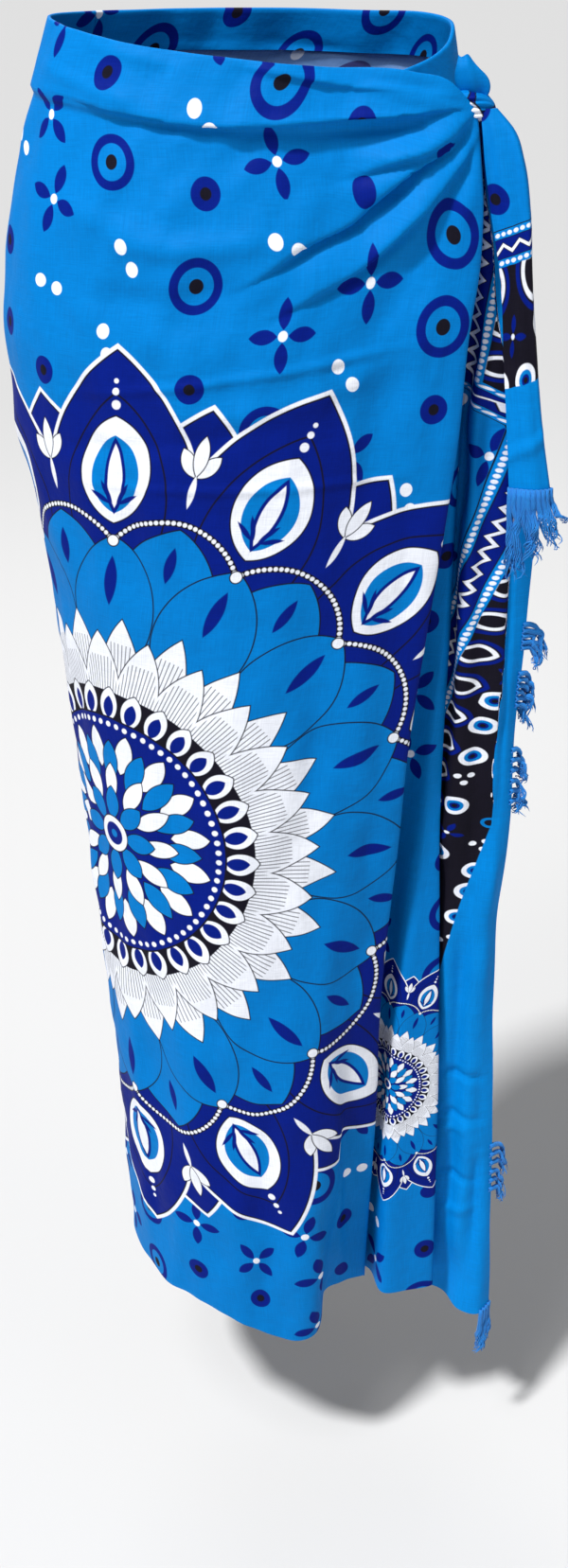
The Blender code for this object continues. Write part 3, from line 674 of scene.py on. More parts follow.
def crease_relief(grid, creases):
    """How far the folds move each point out, from its place in the front view."""
    relief = np.zeros(grid.shape[:2])
    across = grid[:, :, 0] / MM
    up = grid[:, :, 2] / MM
    for crease in creases:
        run = crease.x1 - crease.x0
        fall = crease.z1 - crease.z0
        share = ((across - crease.x0) * run + (up - crease.z0) * fall) / (run * run + fall * fall)
        share = np.clip(share, 0, 1)
        line_up = crease.z0 + fall * share - 4 * crease.sag * share * (1 - share)
        apart = np.hypot(across - crease.x0 - run * share, up - line_up)
        taper = np.clip(share * CREASE_SWELL, CREASE_LEAST, 1) * np.clip((1 - share) * CREASE_RUN_OUT, 0, 1)
        relief += crease.height * MM * taper * np.exp(-(apart / crease.half_width) ** 2)
    return relief


def overlap_relief(grid, overlap):
    """The step of an overlapped fold, how far it hangs over, and how much print it hides, by point."""
    points = np.array(overlap.points) * MM
    line = curve_at(points, np.linspace(0, len(points) - 1, OVERLAP_STATIONS))
    flat = grid[:, :, [0, 2]]
    apart = np.linalg.norm(flat[:, :, None, :] - line, axis=3)
    nearest = apart.argmin(axis=2)
    share = nearest / (len(line) - 1)
    heading = np.gradient(line, axis=0)[nearest]
    offset = flat - line[nearest]
    side = np.sign(heading[:, :, 0] * offset[:, :, 1] - heading[:, :, 1] * offset[:, :, 0]) * -1
    distance = apart.min(axis=2) * side
    fade = np.clip((1 - share) * OVERLAP_RUN_OUT, 0, 1) * np.clip(share * OVERLAP_SWELL, OVERLAP_LEAST, 1)
    width = overlap.width * MM
    above = np.exp(-(distance / width) ** 2)
    below = np.exp(-(distance / (OVERLAP_DIP_WIDTH * width)) ** 2)
    step = 1 / (1 + np.exp(-np.clip(distance / OVERLAP_EDGE, -30, 30)))
    relief = (above * step - OVERLAP_DIP * below * (1 - step)) * overlap.lip * MM * fade
    slip = above * step * overlap.slip * MM * fade
    hidden = overlap.hidden * MM * fade * (1 - step) * np.exp(-(distance / (HIDDEN_REACH * width)) ** 2)
    return relief, slip, hidden


def ripple_relief(grid, seed):
    """Faint unevenness of worn cloth, as crossing ripples of many sizes."""
    chance = np.random.default_rng(seed)
    arc = arc_along(grid)
    up = grid[:, :, 2]
    relief = np.zeros(grid.shape[:2])
    for _ in range(RIPPLES):
        length = chance.uniform(*RIPPLE_LENGTHS)
        turned = chance.normal(0.0, RIPPLE_TURN)
        phase = chance.uniform(0, 2 * pi)
        wave = (arc * cos(turned) + up * sin(turned) * RIPPLE_STRETCH) * 2 * pi / length
        patch = np.sin(arc * chance.uniform(*PATCHES_ACROSS) + up * chance.uniform(*PATCHES_DOWN) + phase)
        relief += RIPPLE_HEIGHT * length / RIPPLE_FULL_LENGTH * np.sin(wave + phase) * np.clip(patch, 0, 1)
    return relief


def arc_along(grid):
    """Length along each row from its first point."""
    steps = np.linalg.norm(np.diff(grid, axis=1), axis=2)
    return np.concatenate([np.zeros((len(grid), 1)), np.cumsum(steps, axis=1)], axis=1)


def waist_turn(grid, print_map):
    """Rows that carry the upper edge over and down inside, as a rolled waistband has them."""
    normals = outward_normals(grid)
    inside = grid[:WAIST_TURN_ROWS] - normals[:WAIST_TURN_ROWS] * WAIST_TURN_GAP
    inside_map = print_map[:WAIST_TURN_ROWS].copy()
    inside_map[:, :, 1] = 2 * print_map[0, :, 1] - inside_map[:, :, 1]
    radius = WAIST_TURN_GAP / 2
    centre = grid[0] - normals[0] * radius
    over = []
    for step in range(1, WAIST_TURN_STEPS):
        angle = pi * (1 - step / WAIST_TURN_STEPS)
        over.append(centre + normals[0] * radius * cos(angle) + np.array([0, 0, 1]) * radius * sin(angle))
    over_map = np.repeat(print_map[:1], WAIST_TURN_STEPS - 1, axis=0)
    full = np.concatenate([inside[::-1], np.array(over), grid])
    return full, np.concatenate([inside_map[::-1], over_map, print_map])


def add_piece(name, mesh, materials):
    """An object of its own in the scene."""
    for material in materials:
        mesh.materials.append(material)
    item = bpy.data.objects.new(name, mesh)
    bpy.context.scene.collection.objects.link(item)
    return item


def cloth_sheet(name, grid, maps, materials):
    """A thin sheet of cloth on a grid of points, with its places on the flat print."""
    rows, columns = grid.shape[:2]
    shape = bmesh.new()
    bmesh.ops.create_grid(shape, x_segments=columns - 1, y_segments=rows - 1, size=1)
    layers = {key: shape.loops.layers.uv.new(key) for key in maps}
    places = {}
    for vert in shape.verts:
        column = round((vert.co.x + 1) / 2 * (columns - 1))
        row = round((1 - vert.co.y) / 2 * (rows - 1))
        places[vert] = (row, column)
        vert.co = grid[row, column]
    for face in shape.faces:
        face.smooth = True
        for loop in face.loops:
            for key, layer in layers.items():
                loop[layer].uv = maps[key][places[loop.vert]]
    for border in shape.edges:
        border.smooth = not border.is_boundary
    mesh = bpy.data.meshes.new(name)
    shape.to_mesh(mesh)
    shape.free()
    item = add_piece(name, mesh, materials)
    shell = item.modifiers.new("cloth", "SOLIDIFY")
    shell.thickness = CLOTH
    shell.offset = 0
    shell.material_offset = len(materials) - 1
    return item


class Field:
    """A number on the surface, worked out by shader nodes."""

    def __init__(self, tree, socket):
        self.tree = tree
        self.socket = socket

    def math(self, operation, *others, clamp=False):
        node = self.tree.nodes.new("ShaderNodeMath")
        node.operation = operation
        node.use_clamp = clamp
        for entry, value in zip(node.inputs, (self, *others)):
            if isinstance(value, Field):
                self.tree.links.new(value.socket, entry)
            else:
                entry.default_value = value
        return Field(self.tree, node.outputs[0])

    def __add__(self, other):
        return self.math("ADD", other)

    def __sub__(self, other):
        return self.math("SUBTRACT", other)

    def __mul__(self, other):
        return self.math("MULTIPLY", other)

    def __truediv__(self, other):
        return self.math("DIVIDE", other)

    def fraction(self):
        return self.math("FRACT")

    def size(self):
        return self.math("ABSOLUTE")

    def inside(self, edge=PRINT_EDGE):
        """1 where this signed distance is below zero, 0 where it is above."""
        return self.math("MULTIPLY_ADD", -1.0 / edge, 0.5, clamp=True)

    def blend(self, other, share):
        """This number where the share is 0, the other where it is 1."""
        node = self.tree.nodes.new("ShaderNodeMix")
        node.data_type = "FLOAT"
        self.tree.links.new(share.socket, node.inputs[0])
        self.tree.links.new(self.socket, node.inputs[2])
        if isinstance(other, Field):
            self.tree.links.new(other.socket, node.inputs[3])
        else:
            node.inputs[3].default_value = other
        return Field(self.tree, node.outputs[0])


def distance(x, y):
    return (x * x).math("ADD", y * y).math("SQRT")


class Paint:
    """Colours laid one over the other."""

    def __init__(self, tree, colour):
        self.tree = tree
        self.first = colour
        self.socket = None

    def over(self, mask, colour):
        node = self.tree.nodes.new("ShaderNodeMix")
        node.data_type = "RGBA"
        self.tree.links.new(mask.socket, node.inputs[0])
        if self.socket is None:
            node.inputs[6].default_value = (*self.first, 1)
        else:
            self.tree.links.new(self.socket, node.inputs[6])
        if isinstance(colour, Paint):
            self.tree.links.new(colour.socket, node.inputs[7])
        else:
            node.inputs[7].default_value = (*colour, 1)
        self.socket = node.outputs[2]


def sector(x, y, count, turned=0.0):
    """Coordinates in one of a number of equal sectors: along its middle line, and off to its side."""
    reach = distance(x, y)
    share = y.math("ARCTAN2", x) * (count / (2 * pi)) + (0.5 + turned)
    angle = (share.math("FRACT") - 0.5) * (2 * pi / count)
    return reach * angle.math("COSINE"), (reach * angle.math("SINE")).size()


def leaf(along, aside, centre, half_length, half_width):
    """Signed distance to a leaf with a point at both ends."""
    radius = (half_length ** 2 + half_width ** 2) / (2 * half_width)
    return distance(along - centre, aside + (radius - half_width)) - radius


def spot(along, aside, centre, radius):
    return distance(along - centre, aside) - radius


def paint_ring(paint, along, aside, ring, edge):
    """A ring of leaves, each with its outline where it has one."""
    shape = leaf(along, aside, ring.centre, ring.half_length, ring.half_width)
    if ring.line:
        paint.over((shape - ring.line_width).inside(edge), ring.line)
    paint.over(shape.inside(edge), ring.fill)


def garland(paint, along, aside, edge):
    """Beads on a dark line round a point on the middle line of each sector, as far as an angle."""
    off = along - GARLAND_CENTRE
    around = aside.math("ARCTAN2", off)
    pitch = GARLAND_BEAD * 2.5
    step = ((around * (GARLAND_RADIUS / pitch)).fraction() - 0.5) * pitch
    from_line = distance(off, aside) - GARLAND_RADIUS
    mask = around.math("LESS_THAN", GARLAND_REACH)
    paint.over((from_line.size() - GARLAND_BEAD * 1.5).inside(edge) * mask, INK)
    paint.over((distance(from_line, step) - GARLAND_BEAD).inside(edge) * mask, WHITE)


def side_leaf(along, aside, foot, angle, centre, half_length, half_width):
    """Signed distance to two leaves that spread from a foot on the middle line."""
    off = along - foot
    turned = off * cos(angle) + aside * sin(angle)
    across = aside * cos(angle) - off * sin(angle)
    return leaf(turned, across.size(), centre, half_length, half_width)


def paint_rosette(paint, x, y):
    """A lotus rosette of rings of leaves, buds, beads and veins. X and y are in metres from its centre."""
    edge = ROSETTE_EDGE
    reach = distance(x, y)
    made = {}

    def part(count, turned):
        if (count, turned) not in made:
            made[count, turned] = sector(x, y, count, turned)
        return made[count, turned]

    def paint_rings(rings):
        for ring in rings:
            paint_ring(paint, *part(ring.leaves, ring.turned), ring, edge)

    def paint_discs(discs):
        for radius, colour in discs:
            paint.over((reach - radius).inside(edge), colour)

    on_leaf = part(16, 0.0)
    between_leaves = part(16, 0.5)
    for (along, aside), tip, half_width in ((between_leaves, 0.348, 0.050), (on_leaf, 0.378, 0.061)):
        half = (tip - OUTER_LEAF_FOOT) / 2
        shape = leaf(along, aside, OUTER_LEAF_FOOT + half, half, half_width)
        for grow, colour in ((3.6, WHITE), (0.8, INK), (-0.4, ROYAL)):
            paint.over((shape - grow * MM).inside(edge), colour)
    inner = leaf(*on_leaf, 0.272, 0.078, 0.040)
    paint.over((inner.size() - 0.6 * MM).inside(edge), INK)
    paint_rings(BUD_RINGS)
    for angle in BUD_RIB_ANGLES:
        rib = side_leaf(*on_leaf, 0.270, angle, 0.012, 0.009, 0.0018)
        paint.over(rib.inside(edge), ROYAL)
    for centre, radius in ((0.342, 3.2), (0.351, 2.4), (0.358, 1.7)):
        paint.over(spot(*on_leaf, centre, radius * MM).inside(edge), WHITE)
    # Sprigs between the buds
    for angle, centre, half in ((0.62, 0.0125, 0.0105), (0.0, 0.0165, 0.0140)):
        sprig = side_leaf(*between_leaves, 0.300, angle, centre, half, 0.0048)
        paint.over((sprig - 0.8 * MM).inside(edge), INK)
        paint.over(sprig.inside(edge), WHITE)
    paint.over(leaf(*between_leaves, 0.291, 0.012, 0.0024).inside(edge), WHITE)
    # Turquoise leaves under bead lines
    paint_rings(TURQUOISE_RINGS)
    garland(paint, *between_leaves, edge)
    for radius, colour in ((4.8, INK), (3.9, WHITE)):
        paint.over(spot(*on_leaf, GARLAND_JOINT, radius * MM).inside(edge), colour)
    # White leaves with fine veins
    for (along, aside), tip in ((part(24, 0.75), 0.186), (part(24, 0.25), 0.172)):
        half = (tip - WHITE_LEAF_FOOT) / 2
        shape = leaf(along, aside, WHITE_LEAF_FOOT + half, half, WHITE_LEAF_HALF_WIDTH)
        paint.over((shape - 0.9 * MM).inside(edge), INK)
        paint.over(shape.inside(edge), WHITE)
        veins = ((aside / along * VEINS).fraction() - 0.5).size() * along * (1 / VEINS)
        lines = (veins - 0.32 * MM).inside(edge)
        vein_tip = tip - 0.020
        paint.over(lines * (shape + 2.2 * MM).inside(edge) * (along - vein_tip).inside(edge), INK)
    # Ring of scallops, and the middle
    paint_discs([(0.124, INK)])
    paint_rings(SCALLOP_RINGS)
    paint_discs([(0.103, INK), (0.1015, ROYAL)])
    paint.over(spot(*part(72, 0.0), 0.0965, 2.3 * MM).inside(edge), WHITE)
    paint_rings(MIDDLE_RINGS)
    paint_discs([(0.0165, INK), (0.0154, WHITE), (0.0100, ROYAL), (0.0035, TURQUOISE)])


def random_numbers(tree, first, second, seed):
    """Three numbers from 0 to 1 that belong to a cell."""
    vector = tree.nodes.new("ShaderNodeCombineXYZ")
    tree.links.new(first.socket, vector.inputs[0])
    tree.links.new(second.socket, vector.inputs[1])
    vector.inputs[2].default_value = seed
    noise = tree.nodes.new("ShaderNodeTexWhiteNoise")
    tree.links.new(vector.outputs[0], noise.inputs["Vector"])
    split = tree.nodes.new("ShaderNodeSeparateColor")
    tree.links.new(noise.outputs["Color"], split.inputs[0])
    return [Field(tree, output) for output in split.outputs[:3]]


def cells(tree, place, height, size, seed, jitter):
    """A brick layout of cells: turned coordinates in each, and its three random numbers."""
    column = (place / size).math("FLOOR")
    shifted = height / size + (column * 0.5).fraction()
    row = shifted.math("FLOOR")
    first, second, third = random_numbers(tree, column, row, seed)
    x = ((place / size).fraction() - 0.5 + (first - 0.5) * jitter) * size
    y = (shifted.fraction() - 0.5 + (second - 0.5) * jitter) * size
    angle = third * (2 * pi)
    turned_x = x * angle.math("COSINE") + y * angle.math("SINE")
    turned_y = y * angle.math("COSINE") - x * angle.math("SINE")
    return turned_x, turned_y, (first * 7.31 + second * 3.17).fraction(), third


def between(number, low, high):
    return number.math("GREATER_THAN", low) * number.math("LESS_THAN", high)


def paint_motifs(tree, paint, place, height):
    """Rings, four-leaved flowers and pairs of dots, strewn over the ground."""
    x, y, kind, other = cells(tree, place, height, MOTIF_CELL, 3.0, MOTIF_JITTER)
    reach = distance(x, y)
    radius = other * (4.0 * MM) + 14.5 * MM
    ring = between(kind, 0.0, 0.30)
    for share, colour in ((1.0, ROYAL), (0.66, TURQUOISE), (0.27, INK)):
        paint.over((reach - radius * share).inside() * ring, colour)
    small = between(kind, 0.30, 0.50)
    for size, colour in ((9.4, ROYAL), (3.6, INK)):
        paint.over((reach - size * MM).inside() * small, colour)
    flower = between(kind, 0.50, 0.76)
    along, aside = sector(x, y, 4)
    paint.over(leaf(along, aside, 12.5 * MM, 9.0 * MM, 4.3 * MM).inside() * flower, ROYAL)
    paint.over((reach - 3.0 * MM).inside() * flower, WHITE)
    dots = between(kind, 0.76, 0.90)
    dot = distance((x.size() - 7.5 * MM), y * 1.15)
    paint.over((dot - 4.8 * MM).inside() * dots, WHITE)
    discs = kind.math("GREATER_THAN", 0.90)
    paint.over((distance(x, y * 1.2) - 8.0 * MM).inside() * discs, ROYAL)


def paint_bead_row(paint, way, along, middle, edge):
    bead = ((along / BEAD_PITCH).fraction() - 0.5) * BEAD_PITCH
    paint.over((distance(way - middle, bead) - BEAD_RADIUS).inside(edge), WHITE)


def paint_border(tree, paint, way, along):
    """Bands across the cloth's end. Way is the distance from the fringed edge, along runs beside it."""
    edge = BORDER_EDGE

    def paint_band(start, colour):
        paint.over((way - start).inside(edge), colour)

    # Bead rows on azure lines, with a zigzag between them
    paint_band(BORDER_START, INK)
    paint_band(BORDER_START - 1.0 * MM, AZURE)
    paint_bead_row(paint, way, along, 0.2005, edge)
    paint_band(0.1972, INK)
    paint_band(ZIGZAG_START, ROYAL)
    wave = ((along / ZIGZAG_PITCH).fraction() - 0.5).size() * ZIGZAG_PITCH
    for width, colour in ((2.6, INK), (1.7, WHITE)):
        line = ((way - 0.1850 - wave).size() - width * MM).inside(edge)
        paint.over(line * (way - ZIGZAG_START).inside(edge), colour)
    paint_band(0.1805, INK)
    paint_band(0.1798, AZURE)
    paint_bead_row(paint, way, along, 0.1765, edge)
    # Black band with arches, rings, flowers and dots
    paint_band(BLACK_BAND_START, INK)
    arch_x = ((along / ARCH_PITCH).fraction() - 0.5) * ARCH_PITCH
    arch = leaf(way * -1.0, arch_x.size(), -0.166, 18 * MM, 12.5 * MM)
    for grow, colour in ((-0.2, ROYAL), (-3.0, INK), (-4.2, WHITE), (-7.0, INK)):
        paint.over((arch - grow * MM).inside(edge) * (way - BLACK_BAND_START).inside(edge), colour)
    x, y, kind, other = cells(tree, way, along, BORDER_CELL, 11.0, BORDER_JITTER)
    reach = distance(x, y)
    low = (way - ARCHES_END).inside(edge)
    radius = other * (2.2 * MM) + 7.4 * MM
    rings = between(kind, 0.0, 0.52) * low
    for share, colour in ((1.0, WHITE), (0.62, TURQUOISE), (0.36, ROYAL), (0.2, INK)):
        paint.over((reach - radius * share).inside(edge) * rings, colour)
    hoops = between(kind, 0.52, 0.64) * low
    for size, colour in ((5.2, TURQUOISE), (3.0, INK)):
        paint.over((reach - size * MM).inside(edge) * hoops, colour)
    flowers = between(kind, 0.64, 0.86) * low
    paint.over(leaf(*sector(x, y, 4), 6.0 * MM, 4.4 * MM, 1.8 * MM).inside(edge) * flowers, ROYAL)
    paint.over((reach - 1.4 * MM).inside(edge) * flowers, WHITE)
    dots = kind.math("GREATER_THAN", 0.86) * low
    paint.over(spot(*sector(x, y, 3), 4.6 * MM, 2.3 * MM).inside(edge) * dots, WHITE)
    paint_band(PLAIN_START, AZURE)


def uv_fields(tree, name):
    node = tree.nodes.new("ShaderNodeUVMap")
    node.uv_map = name
    split = tree.nodes.new("ShaderNodeSeparateXYZ")
    tree.links.new(node.outputs[0], split.inputs[0])
    return Field(tree, split.outputs[0]), Field(tree, split.outputs[1])


def noise_field(tree, vector, scale, detail, roughness=0.5):
    node = tree.nodes.new("ShaderNodeTexNoise")
    tree.links.new(vector, node.inputs["Vector"])
    node.inputs["Scale"].default_value = scale
    node.inputs["Detail"].default_value = detail
    node.inputs["Roughness"].default_value = roughness
    return Field(tree, node.outputs["Fac"])


def stretched(tree, place, height, across, down):
    vector = tree.nodes.new("ShaderNodeCombineXYZ")
    tree.links.new((place * across).socket, vector.inputs[0])
    tree.links.new((height * down).socket, vector.inputs[1])
    return vector.outputs[0]


def add_bump(tree, shader, level, strength):
    """Low relief in metres, as a bump on the shader."""
    bump = tree.nodes.new("ShaderNodeBump")
    bump.inputs["Strength"].default_value = strength
    bump.inputs["Distance"].default_value = 1.0
    tree.links.new(level.socket, bump.inputs["Height"])
    tree.links.new(bump.outputs[0], shader.inputs["Normal"])


def finish_cloth(material, tree, colour, place, height, reverse):
    """Weave, slubs and crumple on a printed colour."""
    shader = tree.nodes["Principled BSDF"]
    warp = noise_field(tree, stretched(tree, place, height, *WARP_SCALES), 1.0, 2)
    weft = noise_field(tree, stretched(tree, place, height, *WEFT_SCALES), 1.0, 2)
    weave = warp + weft
    tone = tree.nodes.new("ShaderNodeHueSaturation")
    tree.links.new(colour, tone.inputs["Color"])
    tree.links.new(((weave - 1.0) * WEAVE_TONE + 1.0).socket, tone.inputs["Value"])
    tone.inputs["Saturation"].default_value = REVERSE_SATURATION if reverse else 1.0
    tree.links.new(tone.outputs[0], shader.inputs["Base Color"])
    position = tree.nodes.new("ShaderNodeTexCoord").outputs["Object"]
    crumple = noise_field(tree, position, 38, 3, 0.55) + noise_field(tree, position, 120, 2) * 0.35
    add_bump(tree, shader, weave * WEAVE_DEPTH + crumple * CRUMPLE_DEPTH, 0.55)
    shader.inputs["Roughness"].default_value = 0.60
    shader.inputs["Specular IOR Level"].default_value = 0.05
    return material


def new_material(name):
    material = bpy.data.materials.new(name)
    material.use_nodes = True
    return material, material.node_tree


def printed_rayon(name, border, reverse):
    """The printed cloth. Its reverse is a little duller."""
    material, tree = new_material(name)
    place, height = uv_fields(tree, "print")
    paint = Paint(tree, TURQUOISE)
    paint_motifs(tree, paint, place, height)
    x = (place - ROSETTE.place) / ROSETTE.scale
    y = (height - ROSETTE.height) / ROSETTE.scale
    for small in SMALL_ROSETTES:
        near_x = (place - small.place) / small.scale
        near_y = (height - small.height) / small.scale
        near = distance(near_x, near_y).math("LESS_THAN", ROSETTE_REACH)
        x = x.blend(near_x, near)
        y = y.blend(near_y, near)
    paint_rosette(paint, x, y)
    if border:
        way, along = uv_fields(tree, "border")
        bands = Paint(tree, AZURE)
        paint_border(tree, bands, way, along)
        paint.over((way - BORDER_START).inside(), bands)
    return finish_cloth(material, tree, paint.socket, place, height, reverse)


def yarn_material():
    material, tree = new_material("fringe_yarn")
    shader = tree.nodes["Principled BSDF"]
    position = tree.nodes.new("ShaderNodeTexCoord").outputs["Object"]
    patches = noise_field(tree, position, 160, 2)
    paint = Paint(tree, AZURE)
    paint.over((patches * 0.9).math("MULTIPLY_ADD", 1.0, -0.2, clamp=True), DEEP_AZURE)
    tree.links.new(paint.socket, shader.inputs["Base Color"])
    add_bump(tree, shader, noise_field(tree, position, 900, 2) * YARN_FUZZ, 0.6)
    shader.inputs["Roughness"].default_value = 0.8
    shader.inputs["Sheen Weight"].default_value = 0.15
    return material


def map_pair(first, second):
    return np.stack([first, second], axis=-1)


def front_sheet(materials):
    """The front, and the heights and print places of its first column, where the back joins on."""
    places = spread(*FRONT_COLUMNS)
    shares = np.clip(places / EDGE_POINT, 0, 1)
    heights = row_heights(FRONT_EDGES, shares, FRONT_ROWS)
    grid = wall_grid(outer_section, places, heights)
    before_edge = np.clip((EDGE_POINT - 0.5 - places) / 1.5, 0, 1)
    past_seam = np.clip(places / SEAM_FADE, 0, 1)
    relief = crease_relief(grid, FRONT_CREASES + FRONT_FINE) + ripple_relief(grid, FRONT_SEED)
    slip = np.zeros(grid.shape[:2])
    hidden = np.zeros(grid.shape[:2])
    for overlap in OVERLAPS:
        step, down, taken = overlap_relief(grid, overlap)
        relief = relief + step
        slip += down * past_seam
        hidden += taken * past_seam
    relief = relief * past_seam + band_profile(heights, FRONT_EDGES, shares)
    arc = arc_along(grid)
    edge = np.argmin(np.abs(places - EDGE_POINT))
    place = arc[:, edge : edge + 1] - arc
    print_map = map_pair(place, grid[:, :, 2] - hidden)
    grid = grid + outward_normals(grid) * (relief * before_edge)[:, :, None]
    grid[:, :, 2] -= slip * before_edge
    grid, print_map = waist_turn(grid, print_map)
    item = cloth_sheet("front_cloth", grid, {"print": print_map}, materials)
    return item, (heights[:, 0], place[:, 0])


def back_sheet(materials, seam):
    places = spread(*BACK_COLUMNS)
    shares = places / places[-1]
    heights = row_heights(BACK_EDGES, shares, BACK_ROWS)
    grid = wall_grid(inner_section, places, heights)
    before_tuck = np.clip((CREST + 0.5 - places) / 2, 0, 1)
    relief = crease_relief(grid, BACK_CREASES + BACK_FINE) + ripple_relief(grid, BACK_SEED)
    relief = relief * np.clip(places / SEAM_FADE, 0, 1) + band_profile(heights, BACK_EDGES, shares)
    grid -= outward_normals(grid) * (relief * before_tuck)[:, :, None]
    seam_heights, seam_places = seam
    start = np.interp(heights[:, 0], seam_heights[::-1], seam_places[::-1])
    print_map = map_pair(arc_along(grid) + start[:, None], grid[:, :, 2])[:, ::-1]
    grid, print_map = waist_turn(grid[:, ::-1], print_map)
    return cloth_sheet("back_cloth", grid, {"print": print_map}, materials)


def middle_sheet(materials):
    places = spread(*MIDDLE_COLUMNS)
    first = places[0]
    last = places[-1]
    shares = (places - first) / (last - first)
    grid = wall_grid(outer_section, places, row_heights(MIDDLE_EDGES, shares, MIDDLE_ROWS))
    arc = arc_along(grid)
    open_part = np.clip((places - first - 3.5) / 1.5, 0, 1) * np.clip((last - 2.5 - places) / 2, 0, 1)
    relief = crease_relief(grid, MIDDLE_FINE) * open_part
    grid = grid + outward_normals(grid) * relief[:, :, None]
    print_map = map_pair(MIDDLE_PRINT_PLACE - arc, grid[:, :, 2])
    return cloth_sheet("middle_fold_cloth", grid, {"print": print_map}, materials)


def end_border_map(from_edge, up):
    """The border on the hanging end: bands that slant down from the fringed edge, beside a plain strip."""
    rise = up + END_LENGTH
    slant = BORDER_SLANT * rise + BORDER_SWAY * np.sin(9 * rise)
    slant = slant - UPPER_SHIFT * np.clip((rise - UPPER_SHIFT_RISE) / 0.03, 0, 1)
    beside_edge = np.clip((PLAIN_STRIP - from_edge) / 0.0015, 0, 1)
    plain = beside_edge * np.clip((rise - PLAIN_STRIP_RISE) / 0.01, 0, 1)
    way = BORDER_ACROSS * from_edge + slant * (1 - plain) + PLAIN_WAY * plain
    return map_pair(way, BORDER_ALONG_RISE * rise - BORDER_ALONG_ACROSS * from_edge)


def end_sheet(materials):
    places = spread(*END_COLUMNS)
    first = places[0]
    shares = (places - first) / (places[-1] - first)
    grid = wall_grid(outer_section, places, row_heights(END_EDGES, shares, END_ROWS))
    arc = arc_along(grid)
    from_edge = arc[:, -1:] - arc
    maps = {
        "print": map_pair(END_PRINT_PLACE - arc, grid[:, :, 2]),
        "border": end_border_map(from_edge, grid[:, :, 2]),
    }
    relief = crease_relief(grid, END_FINE) + ripple_relief(grid, END_SEED)
    relief = relief * np.clip(from_edge / 0.012, 0.3, 1) * np.clip((places - first - 1.5) / 2, 0, 1)
    grid = grid + outward_normals(grid) * relief[:, :, None]
    return cloth_sheet("end_cloth", grid, maps, materials), grid


def stacked_grid(table, rows, outline, places):
    """Level curves of a narrow piece, one below the other. Outline gives a row's points."""
    grid = []
    for height in np.linspace(table[0].height * MM, table[-1].height * MM, rows):
        level = curve_at(outline(table_row(table, height)), places)
        grid.append(np.column_stack([level, np.full(len(level), height)]))
    grid = np.array(grid)
    share = np.linspace(0, 1, grid.shape[1])[None, :]
    drop = np.linspace(0, 1, rows)[:, None]
    return grid, share, drop


def tail_outline(row):
    width = row.right - row.left
    fold = min(TAIL_FOLD, width * 0.5)
    depth = min(TAIL_DEPTH, width * 0.35)
    return np.array([
        [row.left, row.face + 0.5 * depth],
        [row.left + 0.30 * width, row.face],
        [row.left + 0.72 * width, row.face],
        [row.right - 0.2 * depth, row.face + 0.2 * depth],
        [row.right, row.face + 0.55 * depth],
        [row.right - 0.25 * depth, row.face + 0.9 * depth],
        [row.right - fold, row.face + depth],
    ])


def tail_sheet(materials):
    grid, share, drop = stacked_grid(TAILS, TAIL_ROWS, tail_outline, spread(*TAIL_COLUMNS))
    folds = np.zeros(grid.shape[:2])
    for wave in TAIL_WAVES:
        swing = np.sin(wave.across * share + wave.down * drop) * (1 - wave.fade * drop)
        folds = folds + wave.height * MM * swing
    for fold in TAIL_CREASES:
        apart = (drop - fold.down - fold.slant * share) / fold.width
        folds = folds + fold.height * MM * np.exp(-apart ** 2)
    grid[:, :, 1] += folds * np.clip(6 * (1 - share), 0, 1) * np.clip(8 * drop, 0, 1)
    arc = arc_along(grid)
    rise = grid[:, :, 2] - TAILS[-1].height * MM
    tilted = rise - TAIL_BAND_TILT * (arc - 0.5 * arc[:, -1:]) * np.clip(rise / 0.08, 0, 1)
    maps = {
        "print": map_pair(arc + TAIL_PRINT_PLACE, grid[:, :, 2]),
        "border": map_pair(np.interp(tilted, TAIL_BAND_RISES, TAIL_BAND_WAYS), arc * 1.15 + 0.02),
    }
    return cloth_sheet("tail_cloth", grid, maps, materials), grid


def ear_outline(row):
    width = row.right - row.left
    depth = 0.45 * width
    return np.array([
        [row.left + 0.14 * width, row.face + depth],
        [row.left, row.face + 0.5 * depth],
        [row.left + 0.30 * width, row.face + 0.05 * depth],
        [row.left + 0.66 * width, row.face],
        [row.right, row.face + 0.5 * depth],
        [row.right - 0.12 * width, row.face + 1.1 * depth],
    ])


def ear_sheet(materials):
    grid, share, drop = stacked_grid(EARS, EAR_ROWS, ear_outline, np.linspace(0, EAR_LAST_POINT, EAR_COLUMNS))
    fold = np.sin(10.5 * share + 0.9 + 0.8 * drop) + 0.4 * np.sin(23 * share - drop)
    grid[:, :, 1] += EAR_FOLD * fold * np.clip(0.35 + drop, 0, 1)
    grid[:, :, 2] -= EAR_SLOPE * (share - EAR_TIP) ** 2 / EAR_TIP * (1 - drop) ** 2
    grid[:, :, 2] += EAR_WAVE * np.sin(14 * share) * (1 - drop) ** 2
    print_map = map_pair(arc_along(grid) + 0.10, grid[:, :, 2] + 0.03)
    return cloth_sheet("ear_cloth", grid, {"print": print_map}, materials)


